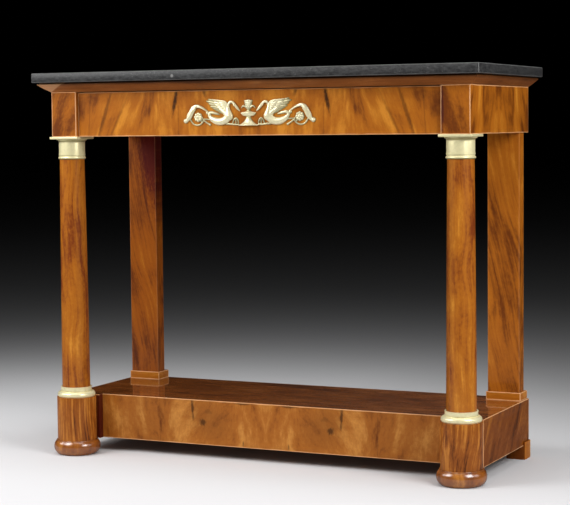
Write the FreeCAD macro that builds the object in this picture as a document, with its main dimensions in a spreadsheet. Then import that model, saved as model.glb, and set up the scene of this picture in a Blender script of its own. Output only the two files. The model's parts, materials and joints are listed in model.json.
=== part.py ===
import FreeCAD, Part
import math
import os
import re
import Sketcher
from FreeCAD import Matrix, Placement, Rotation, Vector

# Pier table: a stone slab on a veneered frieze with one drawer, carried in front by two turned
# columns on drums and behind by two flat pilasters, all standing on a low plinth with feet.
# Millimetres, +Z up, +X to the right, front towards -Y, origin on the floor under the middle.

# Driving sizes, one cell each
SIZES = {
    # Whole table
    "total_height": 900.0,
    "top_width": 1100.0,
    "top_depth": 444.0,
    "top_thick": 22.0,
    "stone_arris": 2.5,
    # Fits and edges that many pieces share
    "arris": 0.8,
    "joint_clearance": 0.15,
    "slide_clearance": 0.3,
    "mortise_relief": 1.0,
    "overrun": 5.0,
    # Cornice moulding under the slab
    "cornice_height": 22.0,
    "cornice_flare": 24.0,
    "cornice_rise": 17.0,
    "cornice_lip": 2.0,
    "cornice_setback": 4.0,
    "cornice_swell": 0.4,
    "cornice_bed": 40.0,
    "back_rail_width": 40.0,
    # Frieze frame
    "frieze_height": 104.0,
    "frieze_rear_gap": 6.0,
    "frieze_side_thick": 22.0,
    "frieze_back_thick": 20.0,
    "block_width": 66.0,
    "column_side_setback": 66.0,
    "column_setback": 72.0,
    "rail_thick": 16.0,
    "rail_width": 60.0,
    "rail_tenon_inset": 8.0,
    "rail_tenon_width": 30.0,
    "runner_width": 75.0,
    "guide_width": 20.0,
    "guide_height": 20.0,
    "stop_length": 15.0,
    "stop_width": 32.0,
    "stop_height": 4.0,
    "stop_offset": 300.0,
    # Flat tenons and tongues
    "tenon_thick": 10.0,
    "tenon_length": 18.0,
    "tenon_shoulder": 14.0,
    "tongue_thick": 8.0,
    "tongue_length": 8.0,
    # Drawer
    "drawer_recess": 9.0,
    "drawer_side_gap": 1.0,
    "drawer_top_gap": 1.5,
    "drawer_lip": 10.0,
    "drawer_front_thick": 22.0,
    "drawer_box_inset": 11.0,
    "drawer_rear_gap": 14.0,
    "drawer_side_thick": 10.0,
    "drawer_back_thick": 10.0,
    "drawer_back_inset": 8.0,
    "drawer_bottom_thick": 6.0,
    "drawer_bottom_rise": 5.0,
    "drawer_groove": 4.0,
    "dovetail_length": 9.0,
    "dovetail_wide": 17.0,
    "dovetail_narrow": 12.0,
    # Gilt ornament on the drawer front
    "ornament_height": 60.0,
    "ornament_offset": -6.0,
    "ornament_rise": 22.0,
    "ornament_pin_radius": 0.9,
    "ornament_pin_length": 9.0,
    "ornament_pin_grip": 2.0,
    # Columns with their bronze capitals and bases
    "shaft_low_radius": 33.2,
    "shaft_middle_radius": 31.5,
    "shaft_top_radius": 29.0,
    "shaft_seat_radius": 27.6,
    "shaft_tenon_radius": 13.0,
    "shaft_tenon_length": 40.0,
    "abacus_width": 75.0,
    "abacus_thick": 6.0,
    "capital_height": 46.5,
    "capital_neck_radius": 30.6,
    "capital_bead_radius": 32.4,
    "capital_bead_height": 4.5,
    "capital_flare_radius": 35.4,
    "capital_flare_height": 7.0,
    "capital_listel": 2.0,
    "base_height": 24.0,
    "base_foot_radius": 42.6,
    "base_torus_radius": 44.6,
    "base_torus_rise": 4.8,
    "base_torus_height": 12.5,
    "base_shoulder_radius": 39.4,
    "base_neck_radius": 37.2,
    "base_waist_radius": 35.4,
    "base_top_radius": 35.9,
    # Drums and bun feet
    "drum_radius": 46.0,
    "foot_height": 35.0,
    "foot_contact_radius": 43.5,
    "foot_bulge_radius": 55.0,
    "foot_bulge_rise": 19.0,
    "foot_collar_radius": 48.5,
    "foot_rebate_radius": 52.0,
    "foot_spigot_radius": 12.0,
    "foot_spigot_length": 28.0,
    "dowel_radius": 5.0,
    "dowel_length": 40.0,
    # Rear pilasters and their bases
    "pilaster_width": 76.0,
    "pilaster_thick": 32.0,
    "pilaster_side_inset": 4.0,
    "pilaster_rear_inset": 22.0,
    "pilaster_base_height": 18.5,
    "pilaster_base_proud": 3.5,
    "pilaster_tenon_width": 40.0,
    "pilaster_tenon_thick": 14.0,
    "pilaster_tenon_length": 34.0,
    "rear_block_proud": 2.0,
    # Plinth
    "plinth_side_proud": 4.0,
    "plinth_top_height": 137.0,
    "plinth_clear_height": 32.0,
    "plinth_front_setback": 123.0,
    "plinth_rear_gap": 14.0,
    "plinth_board": 20.0,
    "plinth_top_thick": 18.0,
    "plinth_block_width": 78.0,
    "plinth_block_proud": 15.5,
    "plinth_block_depth": 78.0,
    "glue_block_leg": 24.0,
    "glue_block_length": 60.0,
    "glue_block_pitch": 200.0,
    "rear_foot_width": 45.0,
    "rear_foot_depth": 42.0,
    "rear_foot_proud": 4.0,
}

# Places worked out from the sizes
PLACES = {
    "stone_low": "total_height - top_thick",
    "frieze_top": "stone_low - cornice_height",
    "frieze_low": "frieze_top - frieze_height",
    "column_x": "top_width / 2 - column_side_setback",
    "column_y": "column_setback - top_depth / 2",
    "block_outer": "column_x + block_width / 2",
    "block_inner": "column_x - block_width / 2",
    "block_front": "column_y - block_width / 2",
    "block_rear": "column_y + block_width / 2",
    "frieze_rear": "top_depth / 2 - frieze_rear_gap",
    "frieze_inner": "block_outer - frieze_side_thick",
    "back_inner": "frieze_rear - frieze_back_thick",
    "lip_x": "block_outer + cornice_flare",
    "lip_y": "block_front - cornice_flare",
    "bed_x": "block_outer - cornice_bed",
    "lower_rail_top": "frieze_low + rail_thick",
    "upper_rail_low": "frieze_top - rail_thick",
    "drawer_face": "block_front + drawer_recess",
    "drawer_lip_rear": "drawer_face + drawer_lip",
    "drawer_front_rear": "drawer_face + drawer_front_thick",
    "drawer_half": "block_inner - drawer_side_gap",
    "drawer_low": "frieze_low + slide_clearance",
    "drawer_high": "frieze_top - drawer_top_gap",
    "box_half": "block_inner - drawer_box_inset",
    "box_inner": "box_half - drawer_side_thick",
    "box_low": "lower_rail_top + slide_clearance",
    "box_high": "upper_rail_low - slide_clearance * 2",
    "box_rear": "rear_block_front - drawer_rear_gap",
    "bottom_low": "box_low + drawer_bottom_rise",
    "bottom_high": "bottom_low + drawer_bottom_thick",
    "drawer_back_rear": "box_rear - drawer_back_inset",
    "drawer_back_front": "drawer_back_rear - drawer_back_thick",
    "rail_front": "drawer_lip_rear + slide_clearance",
    "rail_rear": "rail_front + rail_width",
    "rail_tenon_front": "rail_front + rail_tenon_inset",
    "rail_tenon_rear": "rail_tenon_front + rail_tenon_width",
    "runner_inner": "frieze_inner - runner_width",
    "guide_inner": "box_half + slide_clearance",
    "abacus_low": "frieze_low - abacus_thick",
    "capital_low": "abacus_low - capital_height",
    "drum_top": "plinth_top_height",
    "base_top": "drum_top + base_height",
    "pilaster_outer": "block_outer - pilaster_side_inset",
    "pilaster_inner": "pilaster_outer - pilaster_width",
    "pilaster_rear": "frieze_rear - pilaster_rear_inset",
    "pilaster_front": "pilaster_rear - pilaster_thick",
    "pilaster_x": "pilaster_outer - pilaster_width / 2",
    "pilaster_y": "pilaster_rear - pilaster_thick / 2",
    "pilaster_low": "plinth_top_height + pilaster_base_height",
    "rear_block_front": "pilaster_front - rear_block_proud",
    "plinth_half": "block_outer + plinth_side_proud",
    "plinth_front": "plinth_front_setback - top_depth / 2",
    "plinth_rear": "top_depth / 2 - plinth_rear_gap",
    "plinth_board_low": "plinth_top_height - plinth_top_thick",
    "plinth_block_front": "plinth_front - plinth_block_proud",
    "plinth_block_rear": "plinth_block_front + plinth_block_depth",
    "plinth_block_inner": "plinth_half - plinth_block_width",
    "plinth_side_inner": "plinth_half - plinth_board",
    "plinth_back_inner": "plinth_rear - plinth_board",
    "plinth_panel_rear": "plinth_front + plinth_board",
    "drum_rear": "column_y + drum_radius",
}

SIDES = (("left", -1), ("right", 1))

doc = FreeCAD.newDocument("pier_table")
sheet = doc.addObject("Spreadsheet::Sheet", "Sizes")
for row, (name, size) in enumerate(SIZES.items(), start=1):
    sheet.set(f"A{row}", name)
    sheet.set(f"B{row}", str(size))
    sheet.setAlias(f"B{row}", name)
doc.recompute()

pieces = []


def bound(text):
    """The expression with every place worked out and every size pointing at its cell."""
    def swap(match):
        word = match.group()
        if word in PLACES:
            return f"({bound(PLACES[word])})"
        return f"Sizes.{word}" if word in SIZES else word
    return re.sub(r"[a-z][a-z_]*", swap, text)


def value(text):
    """What an expression comes to now."""
    return float(sheet.evalExpression(bound(text)))


def bind(feature, **expressions):
    """Ties properties of a feature to expressions."""
    for name, text in expressions.items():
        feature.setExpression(name, bound(text))


def move(feature, x="0", y="0", z="0"):
    """Ties a feature's place to expressions."""
    for axis, text in zip("xyz", (x, y, z)):
        feature.setExpression(f"Placement.Base.{axis}", bound(text))


def span(sign, low, high):
    """A stretch of X on the right-hand side, or its mirror image on the left."""
    return (low, high) if sign > 0 else (f"-({high})", f"-({low})")


def middle(half):
    """A stretch of X that is centred on the table."""
    return f"-({half})", half


def new_piece(label):
    """An empty body that becomes one named piece."""
    body = doc.addObject("PartDesign::Body", label)
    body.Label = label
    pieces.append(body)
    return body


def block(body, x, y, z, cut=False):
    """Adds or cuts a box given by its low and high places on each axis."""
    kind = "SubtractiveBox" if cut else "AdditiveBox"
    box = body.newObject(f"PartDesign::{kind}", "Socket" if cut else "Board")
    sizes = [f"({high}) - ({low})" for low, high in (x, y, z)]
    bind(box, Length=sizes[0], Width=sizes[1], Height=sizes[2])
    move(box, x[0], y[0], z[0])
    return box


def bore(body, radius, length, x, y, z, direction=Vector(0, 0, 1)):
    """Cuts a round hole from a point along a direction."""
    hole = body.newObject("PartDesign::SubtractiveCylinder", "Bore")
    hole.Placement = Placement(Vector(), Rotation(Vector(0, 0, 1), direction))
    bind(hole, Radius=radius, Height=length)
    move(hole, x, y, z)
    return hole


FACE_WAYS = {
    "+X": Vector(1, 0, 0), "-X": Vector(-1, 0, 0),
    "+Y": Vector(0, 1, 0), "-Y": Vector(0, -1, 0),
    "+Z": Vector(0, 0, 1), "-Z": Vector(0, 0, -1),
}


def outer_edges(shape, way):
    """The straight edges of the flat face that lies furthest out in one direction."""
    flat = [face for face in shape.Faces if face.Surface.TypeId == "Part::GeomPlane"]
    facing = [face for face in flat if face.normalAt(0, 0).getAngle(FACE_WAYS[way]) < math.radians(1)]
    furthest = max(facing, key=lambda face: face.CenterOfMass.dot(FACE_WAYS[way]))
    return [edge for edge in furthest.Edges if edge.Curve.TypeId == "Part::GeomLine"]


def soften(body, faces, radius="arris"):
    """Rounds the arrises of the named outer faces, or those that two named faces share."""
    doc.recompute()
    worked = body.Tip
    shape = worked.Shape
    chosen = set()
    for word in faces.split():
        groups = [outer_edges(shape, word[place:place + 2]) for place in range(0, len(word), 2)]
        for number, edge in enumerate(shape.Edges, start=1):
            if all(any(edge.isSame(other) for other in group) for group in groups):
                chosen.add(f"Edge{number}")
    rounding = body.newObject("PartDesign::Fillet", "Arris")
    rounding.Base = (worked, sorted(chosen))
    bind(rounding, Radius=radius)
    return rounding


def new_sketch(body, role, offset="0"):
    """A sketch on one of the body's own planes, set off along the plane's normal."""
    plane = next(item for item in body.Origin.OriginFeatures if item.Role == role)
    sketch = body.newObject("Sketcher::SketchObject", "Outline")
    sketch.AttachmentSupport = (plane, [""])
    sketch.MapMode = "FlatFace"
    sketch.setExpression("AttachmentOffset.Base.z", bound(offset))
    return sketch


def tie_point(sketch, geometry, end, corner):
    """Ties a point of a sketch to a pair of expressions."""
    for kind, text, axis in (("DistanceX", corner[0], -2), ("DistanceY", corner[1], -1)):
        if text == "0":
            sketch.addConstraint(Sketcher.Constraint("PointOnObject", geometry, end, axis))
            continue
        number = sketch.addConstraint(Sketcher.Constraint(kind, -1, 1, geometry, end, value(text)))
        sketch.setExpression(f"Constraints[{number}]", bound(text))


def outline(sketch, corners):
    """Draws a closed outline: each corner is (across, up), or (across, up, middle) after an arc."""
    points = [Vector(value(corner[0]), value(corner[1]), 0) for corner in corners]
    sides = []
    for number, corner in enumerate(corners):
        start, end = points[number - 1], points[number]
        if len(corner) == 3:
            through = Vector(value(corner[2][0]), value(corner[2][1]), 0)
            side = sketch.addGeometry(Part.Arc(start, through, end), False)
            first = sketch.getPoint(side, 1)
            turned = first.distanceToPoint(start) > first.distanceToPoint(end)
            mark = sketch.addGeometry(Part.Point(through), True)
            tie_point(sketch, mark, 1, corner[2])
            sketch.addConstraint(Sketcher.Constraint("PointOnObject", mark, 1, side))
            sides.append((side, 2, 1) if turned else (side, 1, 2))
        else:
            sides.append((sketch.addGeometry(Part.LineSegment(start, end), False), 1, 2))
    for number, corner in enumerate(corners):
        side, _, end = sides[number]
        following, start, _ = sides[(number + 1) % len(corners)]
        sketch.addConstraint(Sketcher.Constraint("Coincident", side, end, following, start))
        tie_point(sketch, side, end, corner)
    return sketch


def turn(body, corners):
    """Turns an outline of (radius, height) corners about the body's upright axis."""
    sketch = outline(new_sketch(body, "XZ_Plane"), corners)
    turning = body.newObject("PartDesign::Revolution", "Turning")
    turning.Profile = sketch
    turning.ReferenceAxis = (sketch, ["V_Axis"])
    turning.Angle = math.degrees(math.tau)
    return turning


def pad(body, sketch, length):
    """Pads a sketch along its normal."""
    run = body.newObject("PartDesign::Pad", "Length")
    run.Profile = sketch
    bind(run, Length=length)
    return run


def pocket(body, sketch, length, away=False):
    """Cuts a sketch into the body, against its normal or away along it."""
    cut = body.newObject("PartDesign::Pocket", "Cutting")
    cut.Profile = sketch
    cut.Reversed = away
    bind(cut, Length=length)
    return cut


def group(label, members):
    """Like pieces kept together under one name as separate solids."""
    bundle = doc.addObject("Part::Compound", label)
    bundle.Label = label
    bundle.Links = members
    pieces.append(bundle)
    return bundle


# Stone top

def make_stone_top():
    body = new_piece("stone_top")
    block(body, middle("top_width / 2"), middle("top_depth / 2"), ("stone_low", "total_height"))
    soften(body, "+Z -Z -X-Y +X-Y -X+Y +X+Y", "stone_arris")


# Cornice

def cornice_section(face, outward):
    """Section of the moulding, with the frieze's face at one place and outward as its direction."""
    lip = f"{face} {outward} cornice_flare"
    band = f"{lip} {'-' if outward == '+' else '+'} cornice_setback"
    bed = f"{face} {'-' if outward == '+' else '+'} cornice_bed"
    swell = f"{face} {outward} (cornice_flare / 2 + cornice_swell)"
    rise = "frieze_top + cornice_rise"
    return [
        (bed, "frieze_top"),
        (face, "frieze_top"),
        (lip, rise, (swell, "frieze_top + cornice_rise / 2 - cornice_swell")),
        (lip, f"{rise} + cornice_lip"),
        (band, f"{rise} + cornice_lip"),
        (band, "stone_low"),
        (bed, "stone_low"),
    ]


def mitre_wedge(sign, front):
    """What the mitre takes off: beyond the diagonal for the front piece, before it for a side piece."""
    side = "" if sign > 0 else "-"
    reach = "(cornice_bed + cornice_flare + overrun)"
    near = (f"{side}(lip_x + overrun)", "lip_y - overrun")
    far = (f"{side}(lip_x - {reach})", f"lip_y + {reach}")
    waste = (near[0], far[1]) if front else (far[0], near[1])
    return [near, far, waste]


def make_cornice():
    front = new_piece("cornice_front")
    section = outline(new_sketch(front, "YZ_Plane", "-lip_x"), cornice_section("block_front", "-"))
    pad(front, section, "lip_x * 2")
    for _, sign in SIDES:
        wedge = outline(new_sketch(front, "XY_Plane"), mitre_wedge(sign, True))
        pocket(front, wedge, "total_height", away=True)
    for side, sign in SIDES:
        body = new_piece(f"cornice_{side}")
        face, outward = ("block_outer", "+") if sign > 0 else ("-block_outer", "-")
        section = outline(new_sketch(body, "XZ_Plane", "-frieze_rear"), cornice_section(face, outward))
        pad(body, section, "frieze_rear - lip_y")
        wedge = outline(new_sketch(body, "XY_Plane"), mitre_wedge(sign, False))
        pocket(body, wedge, "total_height", away=True)
    rail = new_piece("top_back_rail")
    block(rail, middle("bed_x"), ("frieze_rear - back_rail_width", "frieze_rear"),
          ("frieze_top", "stone_low"))


# Frieze frame

def rail_tenon(height):
    """Up and down limits of a rail's tenon, centred on the rail."""
    return f"{height} + (rail_thick - tenon_thick) / 2", f"{height} + (rail_thick + tenon_thick) / 2"


def looser(stretch, clearance="joint_clearance"):
    """A stretch widened at both ends by a clearance."""
    return f"({stretch[0]}) - {clearance}", f"({stretch[1]}) + {clearance}"


SIDE_TENON_X = ("frieze_inner + (frieze_side_thick - tenon_thick) / 2",
                "frieze_inner + (frieze_side_thick + tenon_thick) / 2")
SIDE_TENON_Z = ("frieze_low + tenon_shoulder", "frieze_top - tenon_shoulder")
BACK_TONGUE_Y = ("back_inner + (frieze_back_thick - tongue_thick) / 2",
                 "back_inner + (frieze_back_thick + tongue_thick) / 2")


def make_corner_blocks():
    for side, sign in SIDES:
        body = new_piece(f"corner_block_{side}")
        block(body, span(sign, "block_inner", "block_outer"), ("block_front", "block_rear"),
              ("frieze_low", "frieze_top"))
        soften(body, "-Y")
        bore(body, "shaft_tenon_radius + joint_clearance", "shaft_tenon_length + mortise_relief + overrun",
             f"{sign} * column_x", "column_y", "frieze_low - overrun")
        block(body, span(sign, *looser(SIDE_TENON_X)),
              ("block_rear - tenon_length - mortise_relief", "block_rear + overrun"),
              looser(SIDE_TENON_Z), cut=True)
        for height in ("frieze_low", "upper_rail_low"):
            block(body, span(sign, "block_inner - overrun", "block_inner + tenon_length + mortise_relief"),
                  looser(("rail_tenon_front", "rail_tenon_rear")), looser(rail_tenon(height)), cut=True)


def make_frieze_sides():
    for side, sign in SIDES:
        body = new_piece(f"frieze_side_{side}")
        block(body, span(sign, "frieze_inner", "block_outer"), ("block_rear", "frieze_rear"),
              ("frieze_low", "frieze_top"))
        outer = "+X" if sign > 0 else "-X"
        soften(body, f"{outer}-Z {outer}+Y")
        block(body, span(sign, *SIDE_TENON_X), ("block_rear - tenon_length", "block_rear"), SIDE_TENON_Z)
        block(body, span(sign, "frieze_inner - overrun", "frieze_inner + tongue_length + mortise_relief"),
              looser(BACK_TONGUE_Y),
              ("frieze_low + tenon_shoulder - joint_clearance", "frieze_top + overrun"), cut=True)


def make_frieze_back():
    body = new_piece("frieze_back")
    block(body, middle("frieze_inner"), ("back_inner", "frieze_rear"), ("frieze_low", "frieze_top"))
    for _, sign in SIDES:
        block(body, span(sign, "frieze_inner", "frieze_inner + tongue_length"), BACK_TONGUE_Y,
              ("frieze_low + tenon_shoulder", "frieze_top"))


def pilaster_tenon(sign):
    """Plan of the tenon on a pilaster's end."""
    x = span(sign, "pilaster_x - pilaster_tenon_width / 2", "pilaster_x + pilaster_tenon_width / 2")
    return x, ("pilaster_y - pilaster_tenon_thick / 2", "pilaster_y + pilaster_tenon_thick / 2")


def make_rear_blocks():
    for side, sign in SIDES:
        body = new_piece(f"rear_block_{side}")
        block(body, span(sign, "pilaster_inner", "frieze_inner"), ("rear_block_front", "back_inner"),
              ("frieze_low", "frieze_top"))
        x, y = pilaster_tenon(sign)
        block(body, looser(x), looser(y),
              ("frieze_low - overrun", "frieze_low + pilaster_tenon_length + mortise_relief"), cut=True)


def make_rails():
    for label, low in (("lower_rail", "frieze_low"), ("upper_rail", "upper_rail_low")):
        body = new_piece(label)
        block(body, middle("block_inner"), ("rail_front", "rail_rear"), (low, f"{low} + rail_thick"))
        for _, sign in SIDES:
            block(body, span(sign, "block_inner", "block_inner + tenon_length"),
                  ("rail_tenon_front", "rail_tenon_rear"), rail_tenon(low))


def make_slideways():
    """Runners under the drawer, guides beside it and kickers above it."""
    for side, sign in SIDES:
        strip = span(sign, "runner_inner", "frieze_inner")
        run = ("rail_rear", "rear_block_front")
        block(new_piece(f"runner_{side}"), strip, run, ("frieze_low", "lower_rail_top"))
        block(new_piece(f"kicker_{side}"), strip, run, ("upper_rail_low", "frieze_top"))
        block(new_piece(f"guide_{side}"), span(sign, "guide_inner", "guide_inner + guide_width"),
              ("block_rear", "rear_block_front"), ("lower_rail_top", "lower_rail_top + guide_height"))


def make_drawer_stops():
    stops = []
    for side, sign in SIDES:
        stop = doc.addObject("Part::Box", f"stop_{side}")
        bind(stop, Length="stop_width", Width="stop_length", Height="stop_height")
        move(stop, span(sign, "stop_offset", "stop_offset + stop_width")[0],
             "drawer_front_rear + slide_clearance", "lower_rail_top")
        stops.append(stop)
    group("drawer_stops", stops)


# Drawer

def dovetails(sketch, clearance):
    """Tails of the drawer side, drawn on the side's face and flaring towards the front."""
    count = 3
    pitch = f"(box_high - box_low) / {count}"
    root = "drawer_front_rear"
    tip = f"drawer_front_rear - dovetail_length - {clearance}"
    for number in range(count):
        centre = f"box_low + {pitch} * ({number} + 1 / 2)"
        wide = f"(dovetail_wide / 2 + {clearance})"
        narrow = f"(dovetail_narrow / 2 + {clearance})"
        outline(sketch, [
            (root, f"{centre} - {narrow}"),
            (root, f"{centre} + {narrow}"),
            (tip, f"{centre} + {wide}"),
            (tip, f"{centre} - {wide}"),
        ])
    return sketch


def make_drawer_front():
    body = new_piece("drawer_front")
    block(body, middle("drawer_half"), ("drawer_face", "drawer_lip_rear"), ("drawer_low", "drawer_high"))
    soften(body, "-Y")
    block(body, middle("box_half"), ("drawer_lip_rear", "drawer_front_rear"), ("box_low", "box_high"))
    for _, sign in SIDES:
        start = "box_inner" if sign > 0 else "-box_half"
        sketch = dovetails(new_sketch(body, "YZ_Plane", start), "joint_clearance")
        pocket(body, sketch, "drawer_side_thick", away=True)
    block(body, middle("box_inner + drawer_groove"),
          ("drawer_front_rear - drawer_groove", "drawer_front_rear + overrun"),
          looser(("bottom_low", "bottom_high")), cut=True)
    for x, z in pin_places():
        depth = "ornament_pin_length - ornament_pin_grip + mortise_relief / 2"
        bore(body, "ornament_pin_radius + joint_clearance", depth, x, "drawer_face", z, Vector(0, 1, 0))


def make_drawer_box():
    for side, sign in SIDES:
        body = new_piece(f"drawer_side_{side}")
        block(body, span(sign, "box_inner", "box_half"), ("drawer_front_rear", "box_rear"),
              ("box_low", "box_high"))
        start = "box_inner" if sign > 0 else "-box_half"
        pad(body, dovetails(new_sketch(body, "YZ_Plane", start), "0"), "drawer_side_thick")
        channel = span(sign, "box_inner - overrun", "box_inner + drawer_groove")
        block(body, channel, ("drawer_front_rear - drawer_front_thick", "box_rear + overrun"),
              looser(("bottom_low", "bottom_high")), cut=True)
        block(body, channel, looser(("drawer_back_front", "drawer_back_rear")),
              ("bottom_high", "box_high + overrun"), cut=True)
    reach = "box_inner + drawer_groove - joint_clearance"
    block(new_piece("drawer_back"), middle(reach), ("drawer_back_front", "drawer_back_rear"),
          ("bottom_high + joint_clearance", "box_high"))
    block(new_piece("drawer_bottom"), middle(reach),
          ("drawer_front_rear - drawer_groove + joint_clearance", "box_rear"), ("bottom_low", "bottom_high"))


# Gilt ornament: two swans at an urn. Every share is of the ornament's height, measured across from
# the ornament's axis and up from its base line, for the right-hand swan; the left one is its mirror.

STEM_STAND_SHARE = 0.012
STEM_DEPTH_SHARE = 0.72

# Stems that taper along a curve: each station is (across, up, radius)
SWAN_STEM_SHARES = {
    "belly": [(0.86, 0.30, 0.150), (0.97, 0.20, 0.150), (1.12, 0.155, 0.142), (1.28, 0.16, 0.135),
              (1.44, 0.21, 0.118), (1.57, 0.29, 0.090), (1.63, 0.38, 0.056)],
    "tail": [(1.625, 0.36, 0.050), (1.63, 0.43, 0.046), (1.585, 0.48, 0.044), (1.49, 0.48, 0.042),
             (1.37, 0.45, 0.038), (1.22, 0.41, 0.014)],
    "neck": [(0.78, 0.42, 0.090), (0.815, 0.54, 0.058), (0.83, 0.67, 0.046), (0.79, 0.80, 0.042),
             (0.69, 0.86, 0.042), (0.59, 0.80, 0.042), (0.46, 0.67, 0.046), (0.39, 0.59, 0.034),
             (0.345, 0.54, 0.018)],
    "scroll": [(1.65, 0.49, 0.030), (1.80, 0.58, 0.032), (1.98, 0.655, 0.042), (2.16, 0.675, 0.060),
               (2.32, 0.60, 0.078), (2.42, 0.45, 0.084), (2.49, 0.30, 0.078), (2.60, 0.18, 0.050)],
    "ring": [(2.42, 0.26, 0.026), (2.36, 0.13, 0.026), (2.24, 0.055, 0.026), (2.10, 0.045, 0.026),
             (1.97, 0.10, 0.026), (1.90, 0.20, 0.026), (1.93, 0.30, 0.022), (2.00, 0.33, 0.020)],
    "tendril": [(1.93, 0.23, 0.020), (1.86, 0.21, 0.024), (1.77, 0.13, 0.024), (1.62, 0.05, 0.026)],
    "spur": [(1.90, 0.245, 0.018), (1.77, 0.235, 0.024), (1.58, 0.21, 0.020)],
    "rod": [(0.43, 0.05, 0.028), (0.60, 0.045, 0.030), (0.76, 0.075, 0.030), (0.94, 0.07, 0.030)],
    "loop": [(0.43, 0.09, 0.020), (0.45, 0.19, 0.026), (0.53, 0.25, 0.026), (0.61, 0.19, 0.026),
             (0.64, 0.07, 0.022)],
}

# Round forms, the breast first: (across, up, radius)
SWAN_BALL_SHARES = [(0.81, 0.35, 0.175), (2.64, 0.19, 0.092), (1.71, 0.49, 0.075), (1.61, 0.045, 0.044)]

# Wing in three steps, each a height above the ground and an outline whose arcs name a middle point
WING_SHARES = [
    (0.055, [(0.86, 0.50), (0.88, 0.87, (0.855, 0.70)), (1.02, 0.945, (0.93, 0.925)), (1.52, 0.965),
             (1.70, 1.00, (1.61, 0.975)), (1.66, 0.93), (1.79, 0.92, (1.73, 0.935)),
             (1.66, 0.83, (1.74, 0.865)), (1.71, 0.78), (1.56, 0.71, (1.64, 0.73)),
             (1.59, 0.66), (1.38, 0.625, (1.49, 0.632)), (1.15, 0.55, (1.27, 0.60)),
             (0.98, 0.36, (1.05, 0.46))]),
    (0.085, [(0.865, 0.52), (0.885, 0.86, (0.86, 0.70)), (1.01, 0.93, (0.93, 0.91)), (1.46, 0.95),
             (1.40, 0.87), (1.46, 0.82), (1.31, 0.74, (1.39, 0.765)), (1.34, 0.68),
             (1.12, 0.58, (1.23, 0.615)), (0.97, 0.40, (1.03, 0.49))]),
    (0.115, [(0.87, 0.55), (0.89, 0.85, (0.868, 0.70)), (1.00, 0.915, (0.935, 0.895)), (1.20, 0.925),
             (1.14, 0.82), (1.17, 0.76), (1.08, 0.68), (0.98, 0.55, (1.02, 0.61))]),
]

ROSETTE_CENTRE_SHARES = (2.105, 0.325)
ROSETTE_VALLEY_SHARE = 0.145
ROSETTE_PETAL_SHARE = 0.180
ROSETTE_HEIGHT_SHARE = 0.055
ROSETTE_BOSS_SHARE = 0.065
ROSETTE_PETALS = 8

# Urn: half section of (radius, up), arcs naming a middle point, flattened into relief
URN_SHARES = [
    (0, 0.0), (0.40, 0.0), (0.40, 0.035, (0.415, 0.018)), (0.09, 0.32, (0.185, 0.175)),
    (0.13, 0.355, (0.118, 0.332)), (0.305, 0.44, (0.245, 0.375)), (0.305, 0.485, (0.32, 0.463)),
    (0.12, 0.525), (0.075, 0.57, (0.085, 0.545)), (0.085, 0.61, (0.07, 0.59)), (0.175, 0.74, (0.15, 0.66)),
    (0.155, 0.90, (0.18, 0.83)), (0, 0.96, (0.085, 0.95)),
]
URN_DEPTH_SHARE = 0.42
URN_LEAF_SHARES = [(0.06, 0.66, 0.03), (0.17, 0.735, 0.032), (0.25, 0.715, 0.028), (0.285, 0.64, 0.014)]

SWAN_PIN_SHARES = [(0.86, 0.30), ROSETTE_CENTRE_SHARES]
URN_PIN_SHARES = [(0, 0.43), (0, 0.06)]


def ornament_point(across, up, forward=0):
    """A point on the drawer's face from its shares, or that far in front of it."""
    unit = value("ornament_height")
    base = Vector(value("ornament_offset"), value("drawer_face"), value("drawer_low + ornament_rise"))
    return base + Vector(across, -forward, up) * unit


def tapered_stem(stations):
    """A stem of oval section through its stations, standing a little off the ground."""
    unit = value("ornament_height")
    centres = [ornament_point(across, up, STEM_STAND_SHARE) for across, up, _ in stations]
    path = Part.BSplineCurve()
    path.interpolate(centres)
    sections = []
    for centre, (_, _, radius) in zip(centres, stations):
        along = path.tangent(path.parameter(centre))[0]
        sideways = along.cross(Vector(0, 1, 0)).normalize()
        oval = Part.Ellipse(centre + sideways * radius * unit,
                            centre + Vector(0, radius * STEM_DEPTH_SHARE * unit, 0), centre)
        sections.append(Part.Wire(oval.toShape()))
    return Part.makeLoft(sections, True)


def closed_wire(points):
    """A closed wire of lines and arcs: each point is a place, or (place, middle) after an arc."""
    edges = []
    for number, point in enumerate(points):
        start = points[number - 1][0]
        if len(point) == 2:
            edges.append(Part.Arc(start, point[1], point[0]).toShape())
        else:
            edges.append(Part.LineSegment(start, point[0]).toShape())
    return Part.Wire(edges)


def relief_pad(corners, height):
    """A pad of one height with the outline of its corners."""
    points = []
    for corner in corners:
        place = (ornament_point(*corner[:2]),)
        points.append(place + ((ornament_point(*corner[2]),) if len(corner) == 3 else ()))
    rise = Vector(0, -height * value("ornament_height"), 0)
    return Part.Face(closed_wire(points)).extrude(rise)


def rosette():
    """A flower of round petals with a boss."""
    across, up = ROSETTE_CENTRE_SHARES
    step = math.tau / ROSETTE_PETALS

    def rim(angle, radius):
        return across + radius * math.cos(angle), up + radius * math.sin(angle)

    petals = []
    for number in range(ROSETTE_PETALS):
        end = rim((number + 1) * step, ROSETTE_VALLEY_SHARE)
        petals.append((*end, rim((number + 1 / 2) * step, ROSETTE_PETAL_SHARE)))
    boss = Part.makeSphere(ROSETTE_BOSS_SHARE * value("ornament_height"),
                           ornament_point(across, up, ROSETTE_HEIGHT_SHARE))
    return relief_pad(petals, ROSETTE_HEIGHT_SHARE).fuse(boss)


def ground_off(shape):
    """Cuts away what lies behind the drawer's face."""
    reach = value("drawer_half * 2")
    corner = Vector(-reach / 2, value("drawer_face"), value("drawer_low") - reach / 2)
    return shape.cut(Part.makeBox(reach, reach, reach, corner))


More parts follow.
